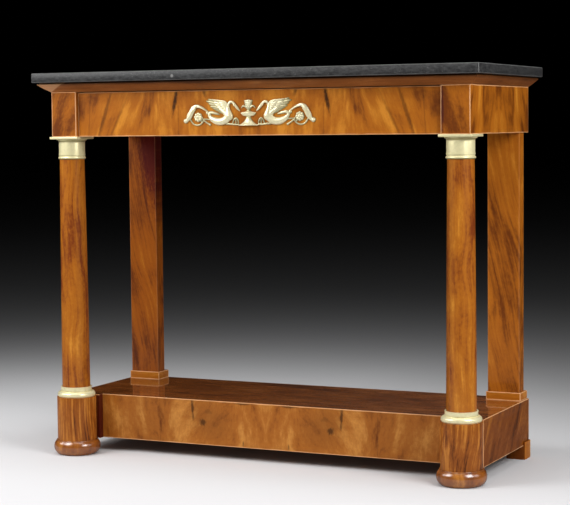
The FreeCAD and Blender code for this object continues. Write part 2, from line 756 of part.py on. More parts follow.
def pin_holes(shape, places):
    """Drills the back of a casting for its pins."""
    for across, up in places:
        depth = value("ornament_pin_grip + mortise_relief / 2")
        radius = value("ornament_pin_radius + joint_clearance")
        shape = shape.cut(Part.makeCylinder(radius, depth, ornament_point(across, up), Vector(0, -1, 0)))
    return shape


def new_casting(label, shape):
    """A casting that is one solid with a flat back."""
    piece = doc.addObject("Part::Feature", label)
    piece.Label = label
    piece.Shape = shape
    piece.Placement = Placement()
    pieces.append(piece)


def make_ornament():
    unit = value("ornament_height")
    forms = [tapered_stem(stations) for stations in SWAN_STEM_SHARES.values()]
    forms += [relief_pad(corners, height) for height, corners in WING_SHARES]
    forms += [Part.makeSphere(radius * unit, ornament_point(across, up))
              for across, up, radius in SWAN_BALL_SHARES]
    forms.append(rosette())
    halves = [ground_off(form) for form in forms]
    swan = pin_holes(halves[0].multiFuse(halves[1:]), SWAN_PIN_SHARES)
    new_casting("ornament_swan_right", swan)
    axis = ornament_point(0, 0)
    new_casting("ornament_swan_left", swan.mirror(axis, Vector(1, 0, 0)))

    section = []
    for corner in URN_SHARES:
        section.append(tuple(ornament_point(*place) for place in (corner[:2], *corner[2:])))
    turned = Part.Face(closed_wire(section)).revolve(axis, Vector(0, 0, 1), math.degrees(math.tau))
    flatten = Matrix()
    flatten.scale(1, URN_DEPTH_SHARE, 1)
    turned.translate(-axis)
    urn = turned.transformGeometry(flatten)
    urn.translate(axis)
    leaf = tapered_stem(URN_LEAF_SHARES)
    urn = urn.multiFuse([leaf, leaf.mirror(axis, Vector(1, 0, 0))])
    new_casting("ornament_urn", pin_holes(ground_off(urn), URN_PIN_SHARES))


def pin_places():
    """Where the pins of the whole ornament go, as expressions across and up."""
    shares = URN_PIN_SHARES + [(sign * across, up) for across, up in SWAN_PIN_SHARES for _, sign in SIDES]
    return [(f"ornament_offset + ornament_height * {across}",
             f"drawer_low + ornament_rise + ornament_height * {up}") for across, up in shares]


def make_ornament_pins():
    pins = []
    for x, z in pin_places():
        pin = doc.addObject("Part::Cylinder", "pin")
        pin.Placement = Placement(Vector(), Rotation(Vector(0, 0, 1), Vector(0, 1, 0)))
        bind(pin, Radius="ornament_pin_radius", Height="ornament_pin_length")
        move(pin, x, "drawer_face - ornament_pin_grip", z)
        pins.append(pin)
    group("ornament_pins", pins)


# Columns

def make_columns():
    middle_height = "(drum_top + capital_low) / 2"
    for side, sign in SIDES:
        body = new_piece(f"column_{side}")
        turn(body, [
            ("0", "drum_top - shaft_tenon_length"),
            ("shaft_tenon_radius", "drum_top - shaft_tenon_length"),
            ("shaft_tenon_radius", "drum_top"),
            ("shaft_low_radius", "drum_top"),
            ("shaft_top_radius", "capital_low", ("shaft_middle_radius", middle_height)),
            ("shaft_seat_radius", "capital_low"),
            ("shaft_seat_radius", "abacus_low"),
            ("shaft_tenon_radius", "abacus_low"),
            ("shaft_tenon_radius", "frieze_low + shaft_tenon_length"),
            ("0", "frieze_low + shaft_tenon_length"),
        ])
        move(body, f"{sign} * column_x", "column_y")


def make_capitals():
    neck_low = "capital_low + capital_bead_height"
    flare_top = "abacus_low - capital_listel"
    flare_low = f"{flare_top} - capital_flare_height"
    bead_middle = "capital_low + capital_bead_height / 2"
    inside = "shaft_seat_radius + joint_clearance"
    half = "abacus_width / 2"
    for side, sign in SIDES:
        body = new_piece(f"capital_{side}")
        turn(body, [
            (inside, "abacus_low"),
            (inside, "capital_low"),
            ("capital_neck_radius", "capital_low"),
            ("capital_neck_radius", neck_low, ("capital_bead_radius", bead_middle)),
            ("capital_neck_radius", flare_low),
            ("capital_flare_radius", flare_top,
             ("capital_neck_radius + (capital_flare_radius - capital_neck_radius) / 4",
              f"{flare_low} + capital_flare_height * 2 / 3")),
            ("capital_flare_radius", "abacus_low"),
        ])
        move(body, f"{sign} * column_x", "column_y")
        plate = new_piece(f"abacus_{side}")
        block(plate, middle(half), middle(half), ("abacus_low", "frieze_low"))
        soften(plate, "+Z -Z")
        bore(plate, "shaft_tenon_radius + joint_clearance", "abacus_thick + overrun * 2", "0", "0",
             "abacus_low - overrun")
        move(plate, f"{sign} * column_x", "column_y")


def make_column_bases():
    torus_top = "drum_top + base_torus_height"
    inside = "shaft_low_radius + joint_clearance"
    for side, sign in SIDES:
        body = new_piece(f"column_base_{side}")
        turn(body, [
            (inside, "base_top"),
            (inside, "drum_top"),
            ("base_foot_radius", "drum_top"),
            ("base_shoulder_radius", torus_top, ("base_torus_radius", "drum_top + base_torus_rise")),
            ("base_neck_radius", torus_top),
            ("base_top_radius", "base_top", ("base_waist_radius", f"({torus_top} + base_top) / 2")),
        ])
        move(body, f"{sign} * column_x", "column_y")


# Drums and bun feet

def dowel_heights():
    """Heights of the two dowels that hold a drum to its plinth block."""
    low, high = "plinth_clear_height", "plinth_board_low"
    return f"{low} + ({high} - {low}) / 3", f"{high} - ({high} - {low}) / 3"


def make_drums():
    socket = "shaft_tenon_radius + joint_clearance"
    socket_low = "drum_top - shaft_tenon_length - mortise_relief"
    hole = "foot_spigot_radius + joint_clearance"
    hole_top = "foot_height + foot_spigot_length + mortise_relief"
    for side, sign in SIDES:
        body = new_piece(f"drum_{side}")
        turn(body, [
            (hole, "foot_height"),
            ("drum_radius", "foot_height"),
            ("drum_radius", "drum_top"),
            (socket, "drum_top"),
            (socket, socket_low),
            ("0", socket_low),
            ("0", hole_top),
            (hole, hole_top),
        ])
        for height in dowel_heights():
            bore(body, "dowel_radius + joint_clearance", "dowel_length / 2 + mortise_relief + overrun",
                 "0", "drum_radius + overrun", height, Vector(0, -1, 0))
        move(body, f"{sign} * column_x", "column_y")


def make_bun_feet():
    for side, sign in SIDES:
        body = new_piece(f"bun_foot_{side}")
        turn(body, [
            ("0", "0"),
            ("foot_contact_radius", "0"),
            ("foot_collar_radius", "foot_height", ("foot_bulge_radius", "foot_bulge_rise")),
            ("foot_spigot_radius", "foot_height"),
            ("foot_spigot_radius", "foot_height + foot_spigot_length"),
            ("0", "foot_height + foot_spigot_length"),
        ])
        move(body, f"{sign} * column_x", "column_y")


def make_drum_dowels():
    dowels = []
    for side, sign in SIDES:
        for height in dowel_heights():
            dowel = doc.addObject("Part::Cylinder", f"dowel_{side}")
            dowel.Placement = Placement(Vector(), Rotation(Vector(0, 0, 1), Vector(0, 1, 0)))
            bind(dowel, Radius="dowel_radius", Height="dowel_length")
            move(dowel, f"{sign} * column_x", "drum_rear - dowel_length / 2", height)
            dowels.append(dowel)
    group("drum_dowels", dowels)


# Rear pilasters

def make_pilasters():
    for side, sign in SIDES:
        body = new_piece(f"pilaster_{side}")
        block(body, span(sign, "pilaster_inner", "pilaster_outer"), ("pilaster_front", "pilaster_rear"),
              ("pilaster_low", "frieze_low"))
        soften(body, "-X-Y +X-Y -X+Y +X+Y")
        x, y = pilaster_tenon(sign)
        block(body, x, y, ("frieze_low", "frieze_low + pilaster_tenon_length"))
        block(body, x, y, ("plinth_board_low", "pilaster_low"))


def make_pilaster_bases():
    for side, sign in SIDES:
        body = new_piece(f"pilaster_base_{side}")
        width = span(sign, *looser(("pilaster_inner", "pilaster_outer"), "pilaster_base_proud"))
        block(body, width, ("pilaster_front - pilaster_base_proud", "plinth_rear"),
              ("plinth_top_height", "pilaster_low"))
        soften(body, "+Z -X-Y +X-Y")
        x, y = pilaster_tenon(sign)
        block(body, looser(x), looser(y), ("plinth_top_height - overrun", "pilaster_low + overrun"), cut=True)


# Plinth

def scoop(body, sign):
    """Hollows a piece so that the drum beds into it."""
    bore(body, "drum_radius + joint_clearance", "plinth_top_height", f"{sign} * column_x", "column_y",
         "plinth_clear_height - overrun")


PANEL_TENON_Y = ("plinth_front + (plinth_board - tenon_thick) / 2",
                 "plinth_front + (plinth_board + tenon_thick) / 2")
PLINTH_TENON_Z = ("plinth_clear_height + tenon_shoulder", "plinth_board_low - tenon_shoulder")
PLINTH_SIDE_TENON_X = ("plinth_side_inner + (plinth_board - tenon_thick) / 2",
                       "plinth_side_inner + (plinth_board + tenon_thick) / 2")
PLINTH_TONGUE_Y = ("plinth_back_inner + (plinth_board - tongue_thick) / 2",
                   "plinth_back_inner + (plinth_board + tongue_thick) / 2")


def make_plinth_top():
    body = new_piece("plinth_top")
    depth = ("plinth_board_low", "plinth_top_height")
    block(body, middle("plinth_half"), ("plinth_front", "plinth_rear"), depth)
    for _, sign in SIDES:
        block(body, span(sign, "plinth_block_inner", "plinth_half"),
              ("plinth_block_front", "plinth_panel_rear"), depth)
        scoop(body, sign)
    soften(body, "+Z")
    for _, sign in SIDES:
        x, y = pilaster_tenon(sign)
        block(body, looser(x), looser(y), looser(depth, "overrun"), cut=True)


def make_plinth_blocks():
    for side, sign in SIDES:
        body = new_piece(f"plinth_block_{side}")
        block(body, span(sign, "plinth_block_inner", "plinth_half"),
              ("plinth_block_front", "plinth_block_rear"), ("plinth_clear_height", "plinth_board_low"))
        soften(body, "-X-Y +X-Y -Z-Y " + ("+X-Z" if sign > 0 else "-X-Z"))
        scoop(body, sign)
        bore(body, "foot_rebate_radius", "foot_height - plinth_clear_height + overrun",
             f"{sign} * column_x", "column_y", "plinth_clear_height - overrun")
        mortise = ("plinth_block_inner - overrun", "plinth_block_inner + tenon_length + mortise_relief")
        block(body, span(sign, *mortise), looser(PANEL_TENON_Y), looser(PLINTH_TENON_Z), cut=True)
        block(body, span(sign, *looser(PLINTH_SIDE_TENON_X)),
              ("plinth_block_rear - tenon_length - mortise_relief", "plinth_block_rear + overrun"),
              looser(PLINTH_TENON_Z), cut=True)
        for height in dowel_heights():
            bore(body, "dowel_radius + joint_clearance", "dowel_length / 2 + mortise_relief + overrun",
                 f"{sign} * column_x", "drum_rear - overrun", height, Vector(0, 1, 0))


def make_plinth_frame():
    height = ("plinth_clear_height", "plinth_board_low")
    front = new_piece("plinth_front")
    block(front, middle("plinth_block_inner"), ("plinth_front", "plinth_panel_rear"), height)
    soften(front, "-Y-Z")
    back = new_piece("plinth_back")
    block(back, middle("plinth_side_inner"), ("plinth_back_inner", "plinth_rear"), height)
    for side, sign in SIDES:
        block(front, span(sign, "plinth_block_inner", "plinth_block_inner + tenon_length"), PANEL_TENON_Y,
              PLINTH_TENON_Z)
        block(back, span(sign, "plinth_side_inner", "plinth_side_inner + tongue_length"), PLINTH_TONGUE_Y,
              PLINTH_TENON_Z)
        body = new_piece(f"plinth_side_{side}")
        block(body, span(sign, "plinth_side_inner", "plinth_half"), ("plinth_block_rear", "plinth_rear"),
              height)
        outer = "+X" if sign > 0 else "-X"
        soften(body, f"{outer}-Z {outer}+Y")
        block(body, span(sign, *PLINTH_SIDE_TENON_X),
              ("plinth_block_rear - tenon_length", "plinth_block_rear"), PLINTH_TENON_Z)
        groove = ("plinth_side_inner - overrun", "plinth_side_inner + tongue_length + mortise_relief")
        block(body, span(sign, *groove), looser(PLINTH_TONGUE_Y), looser(PLINTH_TENON_Z), cut=True)


def make_glue_blocks():
    """Triangular blocks rubbed into the corner between the plinth's front and its top."""
    body = new_piece("glue_blocks")
    count = 4
    start = f"-glue_block_pitch * {count - 1} / 2 - glue_block_length / 2"
    sketch = outline(new_sketch(body, "YZ_Plane", start), [
        ("plinth_panel_rear", "plinth_board_low"),
        ("plinth_panel_rear", "plinth_board_low - glue_block_leg"),
        ("plinth_panel_rear + glue_block_leg", "plinth_board_low"),
    ])
    first = pad(body, sketch, "glue_block_length")
    row = body.newObject("PartDesign::LinearPattern", "Row")
    row.Originals = [first]
    row.Direction = (sketch, ["N_Axis"])
    row.Occurrences = count
    bind(row, Length=f"glue_block_pitch * {count - 1}")
    body.Tip = row


def make_rear_feet():
    for side, sign in SIDES:
        body = new_piece(f"rear_foot_{side}")
        outer = "plinth_half + rear_foot_proud"
        block(body, span(sign, f"{outer} - rear_foot_width", outer),
              ("plinth_rear - rear_foot_depth", "plinth_rear"), ("0", "plinth_clear_height"))
        soften(body, "-X-Y +X-Y -X+Y +X+Y -Z")


def check_and_write():
    """Stops on anything that failed, then writes every piece to its own file."""
    doc.recompute()
    failed = [item.Label for item in doc.Objects if {"Invalid", "Error"} & set(item.State)]
    bad = [piece.Label for piece in pieces if piece.Shape.isNull() or not piece.Shape.isValid()]
    if failed or bad:
        raise RuntimeError(f"failed features: {failed}, bad shapes: {bad}")
    os.makedirs("parts", exist_ok=True)
    for piece in pieces:
        piece.Shape.exportStep(f"parts/{piece.Label}.step")
        print(f"{piece.Label}: {len(piece.Shape.Solids)} solid, {piece.Shape.Volume:.0f} mm3")


make_stone_top()
make_cornice()
make_corner_blocks()
make_frieze_sides()
make_frieze_back()
make_rear_blocks()
make_rails()
make_slideways()
make_drawer_stops()
make_drawer_front()
make_drawer_box()
make_ornament()
make_ornament_pins()
make_columns()
make_capitals()
make_column_bases()
make_drums()
make_bun_feet()
make_drum_dowels()
make_pilasters()
make_pilaster_bases()
make_plinth_top()
make_plinth_blocks()
make_plinth_frame()
make_glue_blocks()
make_rear_feet()
check_and_write()
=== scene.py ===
import json
import math

import bmesh
import bpy
from bpy.props import FloatProperty, FloatVectorProperty, IntProperty, PointerProperty
from mathutils import noise, Matrix, Vector


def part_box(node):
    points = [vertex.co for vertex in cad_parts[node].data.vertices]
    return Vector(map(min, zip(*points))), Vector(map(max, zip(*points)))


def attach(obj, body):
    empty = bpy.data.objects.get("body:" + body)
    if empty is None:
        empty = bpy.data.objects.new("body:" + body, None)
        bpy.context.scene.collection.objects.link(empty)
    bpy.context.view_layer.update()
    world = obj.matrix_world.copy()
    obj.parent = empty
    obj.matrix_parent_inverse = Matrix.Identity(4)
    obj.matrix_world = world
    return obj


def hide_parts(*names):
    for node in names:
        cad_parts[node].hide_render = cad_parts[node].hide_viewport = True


bl_info = {
    "name": "Pier table",
    "version": (1, 0, 0),
    "blender": (4, 5, 0),
    "location": "3D View > Sidebar > Pier table",
    "description": "Dresses the pier table with flame veneers, gilt bronze and dark stone on a studio floor",
    "category": "Object",
}

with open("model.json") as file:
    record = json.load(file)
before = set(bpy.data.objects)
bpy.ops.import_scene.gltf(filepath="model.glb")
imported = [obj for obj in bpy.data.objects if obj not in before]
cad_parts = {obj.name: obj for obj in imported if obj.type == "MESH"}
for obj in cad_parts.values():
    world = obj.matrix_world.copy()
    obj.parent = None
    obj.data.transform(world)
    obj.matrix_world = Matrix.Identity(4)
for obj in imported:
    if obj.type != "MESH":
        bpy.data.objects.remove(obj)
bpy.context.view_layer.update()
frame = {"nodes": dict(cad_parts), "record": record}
NODES = frame["nodes"]
MM = 0.001
SIDES = (("left", -1), ("right", 1))


def srgb(red, green, blue):
    """A colour as seen on a screen, in the linear numbers that shaders use."""
    def linear(part):
        part /= 255
        return part / 12.92 if part <= 0.04045 else ((part + 0.055) / 1.055) ** 2.4
    return linear(red), linear(green), linear(blue)


# Values that a user may change

def colour_value(name, description, default):
    return FloatVectorProperty(name=name, description=description, default=default, subtype="COLOR",
                               min=0.0, max=1.0)


class VeneerProperties(bpy.types.PropertyGroup):
    """Colours and polish of the mahogany veneers and of the oak inside."""
    pale: colour_value("Pale figure", "Lightest tone of the flames", srgb(208, 134, 44))
    warm: colour_value("Ground", "Middle tone of the veneer", srgb(172, 98, 22))
    deep: colour_value("Dark figure", "Darkest tone of the flames", srgb(108, 52, 9))
    mark: colour_value("Knots", "Knots and dark strokes in the veneer", srgb(52, 28, 10))
    # The arris colour paints the pale edge lines: partly wear, partly painted highlight
    arris: colour_value("Arris", "Pale worn lines along the edges", srgb(232, 176, 126))
    arris_width: FloatProperty(name="Arris width", description="How far the pale line reaches from an edge",
                               default=1.8 * MM, min=0.0, unit="LENGTH")
    oak: colour_value("Oak", "Plain wood of the drawer box and the back", srgb(158, 120, 78))


class BronzeProperties(bpy.types.PropertyGroup):
    """Gilding and the fineness of the castings."""
    gilt: colour_value("Gilding", "Bare gilt surface", srgb(253, 243, 200))
    # The hollow colour serves both real tarnish and painted shade: on gilt faces that look down and on a
    # casting's sides near its ground
    hollow: colour_value("Hollows", "Tarnish that stays in the hollows", srgb(128, 116, 56))
    grain: FloatProperty(name="Casting grain", description="Size of the smallest form in the ornament",
                         default=0.45 * MM, min=0.2 * MM, unit="LENGTH")
    petals: IntProperty(name="Petals", description="Petals of each rosette", default=8, min=3)


class StoneProperties(bpy.types.PropertyGroup):
    """The slab."""
    ground: colour_value("Ground", "Main tone of the stone", srgb(30, 30, 31))
    cloud: colour_value("Clouds", "Lighter clouds in the stone", srgb(66, 66, 66))
    fleck: colour_value("Flecks", "Small pale flecks", srgb(130, 130, 128))


class StudioProperties(bpy.types.PropertyGroup):
    """Floor, background and lamps."""
    floor: colour_value("Floor", "Pale floor", srgb(236, 236, 238))
    power: FloatProperty(name="Lamp power", description="Power of each large lamp", default=30.0, min=0.0,
                         unit="POWER")
    fill: FloatProperty(name="Fill", description="Even light from all round", default=0.22, min=0.0)


# Short ways to build node trees

class Graph:
    """A node tree with short ways to add nodes and to feed their sockets."""

    def __init__(self, tree):
        self.tree = tree

    def feed(self, socket, given):
        if isinstance(given, bpy.types.NodeSocket):
            self.tree.links.new(given, socket)
        elif socket.type == "RGBA" and len(given) == 3:
            socket.default_value = (*given, 1.0)
        else:
            socket.default_value = given

    def add(self, kind, inputs=(), **settings):
        node = self.tree.nodes.new(kind)
        for name, setting in settings.items():
            setattr(node, name, setting)
        for socket, given in dict(inputs).items():
            self.feed(node.inputs[socket], given)
        return node

    def math(self, operation, *given):
        return self.add("ShaderNodeMath", enumerate(given), operation=operation).outputs[0]

    def plus(self, first, second):
        return self.math("ADD", first, second)

    def minus(self, first, second):
        return self.math("SUBTRACT", first, second)

    def times(self, first, second):
        return self.math("MULTIPLY", first, second)

    def over(self, first, second):
        return self.math("DIVIDE", first, second)

    def apart(self, first, second):
        """How far two values lie from each other."""
        return self.math("ABSOLUTE", self.minus(first, second))

    def vector(self, operation, *given):
        return self.add("ShaderNodeVectorMath", enumerate(given), operation=operation).outputs[0]

    def length(self, vector):
        return self.add("ShaderNodeVectorMath", {0: vector}, operation="LENGTH").outputs["Value"]

    def combine(self, x, y, z):
        return self.add("ShaderNodeCombineXYZ", {"X": x, "Y": y, "Z": z}).outputs[0]

    def split(self, vector):
        return self.add("ShaderNodeSeparateXYZ", {"Vector": vector}).outputs

    def ease(self, given, low, high, start=0.0, end=1.0):
        ends = {"Value": given, "From Min": low, "From Max": high, "To Min": start, "To Max": end}
        return self.add("ShaderNodeMapRange", ends, interpolation_type="SMOOTHSTEP").outputs["Result"]

    def noise(self, vector, stretch, detail=2.0, roughness=0.5, distortion=0.0):
        moved = self.vector("MULTIPLY", vector, stretch)
        return self.add("ShaderNodeTexNoise", {
            "Vector": moved, "Scale": 1.0, "Detail": detail, "Roughness": roughness,
            "Distortion": distortion}).outputs["Fac"]

    def swing(self, value, strength):
        """A value about its middle of a half, made stronger or weaker."""
        return self.times(self.minus(value, 0.5), strength)

    def blend(self, share, first, second):
        """A value between two others."""
        return self.plus(first, self.times(share, self.minus(second, first)))

    def mix(self, share, first, second):
        """A colour between two others."""
        return self.add("ShaderNodeMix", {0: share, 6: first, 7: second}, data_type="RGBA").outputs[2]


def new_tree(name, kind, inputs, outputs):
    """An empty group with its named sockets."""
    tree = bpy.data.node_groups.new(name, kind)
    for direction, sockets in (("INPUT", inputs), ("OUTPUT", outputs)):
        for socket, type_name in sockets.items():
            tree.interface.new_socket(socket, in_out=direction, socket_type=f"NodeSocket{type_name}")
    return tree


def floats(*names):
    return {name: "Float" for name in names}


def shared_group(name, inputs, outputs, build):
    """A shader group that is built once and placed in each material that uses it."""
    tree = bpy.data.node_groups.get(name)
    if tree is None:
        tree = new_tree(name, "ShaderNodeTree", inputs, outputs)
        graph = Graph(tree)
        graph.add("NodeGroupOutput", build(graph, graph.add("NodeGroupInput").outputs))
    return tree


def use_group(graph, tree, inputs):
    """Places a shared group in a material with its own values."""
    return graph.add("ShaderNodeGroup", inputs, node_tree=tree).outputs


# Shared shader effects

def veneer_figure():
    """Figure of a veneer whose grain runs along the third coordinate."""
    def build(graph, given):
        seed = given["Seed"]
        grain = graph.vector("ADD", given["Grain"], graph.combine(seed, seed, seed))
        sway = graph.swing(graph.noise(grain, (8.0, 8.0, 4.0), 1.0), given["Wander"])
        moved = graph.vector("ADD", grain, graph.combine(sway, sway, 0.0))
        close = given["Streaks"]
        along = graph.times(close, 0.03)
        broad = graph.swing(graph.noise(moved, (15.0, 15.0, 5.0), 2.0), 1.1)
        flame = graph.swing(graph.noise(moved, (38.0, 38.0, 14.0), 3.0, 0.5, 0.35), given["Flame"])
        mottle = graph.swing(graph.noise(moved, (170.0, 170.0, 110.0), 4.0, 0.62), given["Mottle"])
        streak = graph.noise(moved, graph.combine(close, close, along), 3.0, 0.6)
        streak = graph.swing(streak, given["Contrast"])
        fine = graph.swing(graph.noise(moved, (1500.0, 1500.0, 26.0), 1.0), 0.2)
        tone = graph.plus(graph.plus(broad, flame), graph.plus(streak, fine))
        tone = graph.plus(tone, mottle)
        pores = graph.ease(graph.noise(moved, (2300.0, 2300.0, 60.0), 1.0), 0.60, 0.72)
        return {"Tone": graph.plus(tone, 0.5), "Pores": pores}

    inputs = {"Grain": "Vector", **floats("Seed", "Streaks", "Wander", "Flame", "Contrast", "Mottle")}
    return shared_group("Veneer figure", inputs, floats("Tone", "Pores"), build)


def dark_mark():
    """Mask of one soft oval stroke that may lean."""
    def build(graph, given):
        up = graph.minus(given["Up"], given["Mark up"])
        across = graph.minus(given["Across"], given["Mark across"])
        across = graph.minus(across, graph.times(up, given["Lean"]))
        flat = graph.combine(graph.over(across, given["Half width"]),
                             graph.over(up, given["Half height"]), 0.0)
        place = graph.combine(given["Across"], given["Up"], 0.0)
        ragged = graph.swing(graph.noise(place, (260.0, 90.0, 1.0), 2.0), 1.1)
        mark = graph.ease(graph.plus(graph.length(flat), ragged), 0.25, 1.15, 1.0, 0.0)
        return {"Mark": graph.times(mark, given["Strength"])}

    inputs = floats("Across", "Up", "Mark across", "Mark up", "Half width", "Half height", "Lean", "Strength")
    return shared_group("Dark mark", inputs, floats("Mark"), build)


def edge_line():
    """Mask of the pale line along the edges of a box, partly worn arris and partly painted highlight."""
    def build(graph, given):
        inward = graph.vector("ABSOLUTE", graph.vector("SUBTRACT", given["Place"], given["Centre"]))
        gaps = graph.split(graph.vector("ABSOLUTE", graph.vector("SUBTRACT", given["Half"], inward)))
        lower = graph.math("MINIMUM", gaps[0], gaps[1])
        upper = graph.math("MAXIMUM", gaps[0], gaps[1])
        second = graph.math("MAXIMUM", lower, graph.math("MINIMUM", upper, gaps[2]))
        worn = graph.noise(given["Place"], (30.0, 30.0, 30.0), 2.0)
        reach = graph.times(given["Width"], graph.ease(worn, 0.3, 0.7, 0.7, 1.2))
        return {"Line": graph.ease(graph.over(second, reach), 0.75, 1.15, 1.0, 0.0)}

    inputs = {"Place": "Vector", "Centre": "Vector", "Half": "Vector", "Width": "Float"}
    return shared_group("Edge line", inputs, floats("Line"), build)


def polished_wood():
    """Colour, roughness and height of polished wood from its figure."""
    def build(graph, given):
        colour = graph.mix(graph.ease(given["Tone"], 0.05, 0.52), given["Deep"], given["Warm"])
        colour = graph.mix(graph.ease(given["Tone"], 0.50, 0.98), colour, given["Pale"])
        colour = graph.mix(graph.times(given["Pores"], 0.24), colour, given["Dark"])
        colour = graph.mix(given["Marks"], colour, given["Dark"])
        colour = graph.mix(given["Line"], colour, given["Worn"])
        rough = graph.plus(graph.ease(given["Tone"], 0.1, 0.9, 0.46, 0.34), graph.times(given["Pores"], 0.12))
        return {"Colour": colour, "Roughness": rough, "Height": graph.times(given["Pores"], -1.0)}

    inputs = floats("Tone", "Pores", "Marks", "Line")
    inputs.update({name: "Color" for name in ("Deep", "Warm", "Pale", "Dark", "Worn")})
    outputs = {"Colour": "Color", **floats("Roughness", "Height")}
    return shared_group("Polished wood", inputs, outputs, build)


def tarnish():
    """Patchy bloom and fine casting grain on gilt metal."""
    def build(graph, given):
        bloom = graph.ease(graph.noise(given["Place"], (85.0, 85.0, 85.0), 4.0, 0.6), 0.42, 0.72)
        cast_grain = graph.noise(given["Place"], (900.0, 900.0, 900.0), 3.0, 0.65)
        return {"Bloom": bloom, "Grain": cast_grain}

    return shared_group("Tarnish", {"Place": "Vector"}, floats("Bloom", "Grain"), build)


# Materials

def new_material(name):
    material = bpy.data.materials.new(name)
    material.use_nodes = True
    material.node_tree.nodes.clear()
    graph = Graph(material.node_tree)
    place = graph.add("ShaderNodeTexCoord").outputs["Object"]
    return material, graph, place


def close_material(graph, inputs, height=None, depth=0.05 * MM):
    """Ends a material in one shader, with fine relief where a height is given."""
    if height is not None:
        bump = graph.add("ShaderNodeBump", {"Strength": 1.0, "Distance": depth, "Height": height})
        inputs = {**inputs, "Normal": bump.outputs["Normal"]}
    shader = graph.add("ShaderNodeBsdfPrincipled", inputs)
    graph.add("ShaderNodeOutputMaterial", {"Surface": shader.outputs["BSDF"]})


# Ways that grain runs

def upright(graph, place):
    """Grain that runs up through the piece as in solid wood."""
    return place


def lying(graph, place):
    """Grain that runs from left to right."""
    x, y, z = graph.split(place)
    return graph.combine(y, z, x)


def fore_and_aft(graph, place):
    """Grain that runs from front to back."""
    x, y, z = graph.split(place)
    return graph.combine(x, z, y)


def leaning(slope):
    """Upright grain that leans to one side."""
    def grain(graph, place):
        x, y, z = graph.split(place)
        return graph.combine(graph.plus(x, graph.times(z, slope)), y, z)
    return grain


# How far the lean of matched leaves takes to come and to go; a shorter way out would fold the grain
LEAN_IN = 60 * MM
LEAN_OUT = 130 * MM


def matched(joint, slope, start, end, foot):
    """Two matched leaves that mirror each other at a joint, leaning from a start to an end beside it."""
    def grain(graph, place):
        x, y, z = graph.split(place)
        across = graph.apart(x, joint)
        inside = graph.times(graph.ease(across, start, start + LEAN_IN),
                             graph.ease(across, end - LEAN_OUT, end, 1.0, 0.0))
        rise = graph.times(graph.minus(z, foot), slope)
        return graph.combine(graph.plus(across, graph.times(rise, inside)), y, z)
    return grain


def side_matched(joint, slope):
    """Two matched leaves on a side of the table."""
    def grain(graph, place):
        x, y, z = graph.split(place)
        return graph.combine(x, graph.plus(graph.apart(y, joint), graph.times(z, slope)), z)
    return grain


def side_leaning(graph, place):
    """Upright grain that leans backward as it rises."""
    backward = 0.7
    x, y, z = graph.split(place)
    return graph.combine(x, graph.minus(y, graph.times(z, backward)), z)


# Figures and tones that several boards share; tones run from dark to pale
PLAIN_FIGURE = {"streaks": 90.0, "flame": 1.0, "contrast": 0.7, "mottle": 0.3, "wander": 0.05, "seed": 0.0}
DRAWER_JOINT = -4 * MM
FRIEZE_SIDE = {"streaks": 50.0, "flame": 1.1, "contrast": 0.6, "seed": 9.0}
FRIEZE_GRAIN = side_matched(4 * MM, 0.22)
FRIEZE_SHADE = 0.06
PLINTH_FRONT = {"streaks": 45.0, "flame": 1.1, "contrast": 0.6, "mottle": 0.5, "wander": 0.1, "seed": 31.3}
PLINTH_JOINT = -9 * MM
PLINTH_SHADE = -0.05
PLINTH_SIDE = {"streaks": 30.0, "flame": 1.0, "contrast": 0.45, "mottle": 0.8, "seed": 17.0}
PLATFORM = {"streaks": 130.0, "wander": 0.02, "flame": 0.8, "contrast": 1.0, "seed": 40.0}
OAK = {"streaks": 240.0, "wander": 0.02, "flame": 0.25, "contrast": 1.3, "mottle": 0.2, "seed": 7.0}
SIDE_TONES = (srgb(70, 28, 0), srgb(124, 62, 4), srgb(166, 98, 20))
PLINTH_TONES = (srgb(112, 54, 12), srgb(168, 99, 34), srgb(204, 138, 64))
PLATFORM_TONES = (srgb(70, 32, 12), srgb(136, 74, 30), srgb(176, 106, 52))
CORNICE_TONES = (srgb(80, 40, 15), srgb(136, 78, 34), srgb(172, 108, 56))
LEFT_PILASTER_TONES = (srgb(88, 37, 6), srgb(152, 80, 14), srgb(186, 116, 34))
COLUMN_TONES = (srgb(118, 52, 16), srgb(172, 100, 26), srgb(208, 138, 48))
DRUM_TONES = (srgb(70, 28, 8), srgb(144, 78, 22), srgb(192, 122, 48))
# MAROON is the plinth blocks' pore colour and the painted shade on the left block's inner return
MAROON = srgb(72, 18, 12)
ARRIS = 0.85
WOOD_GLINT = 0.12
# How strongly varnish mirrors; a gloss over one asks for the harder varnish
VARNISH = 1.5
HARD_VARNISH = 1.9
# How dark the painted shade is at the top of the cornice, under the slab's overhang
DUST = 0.7


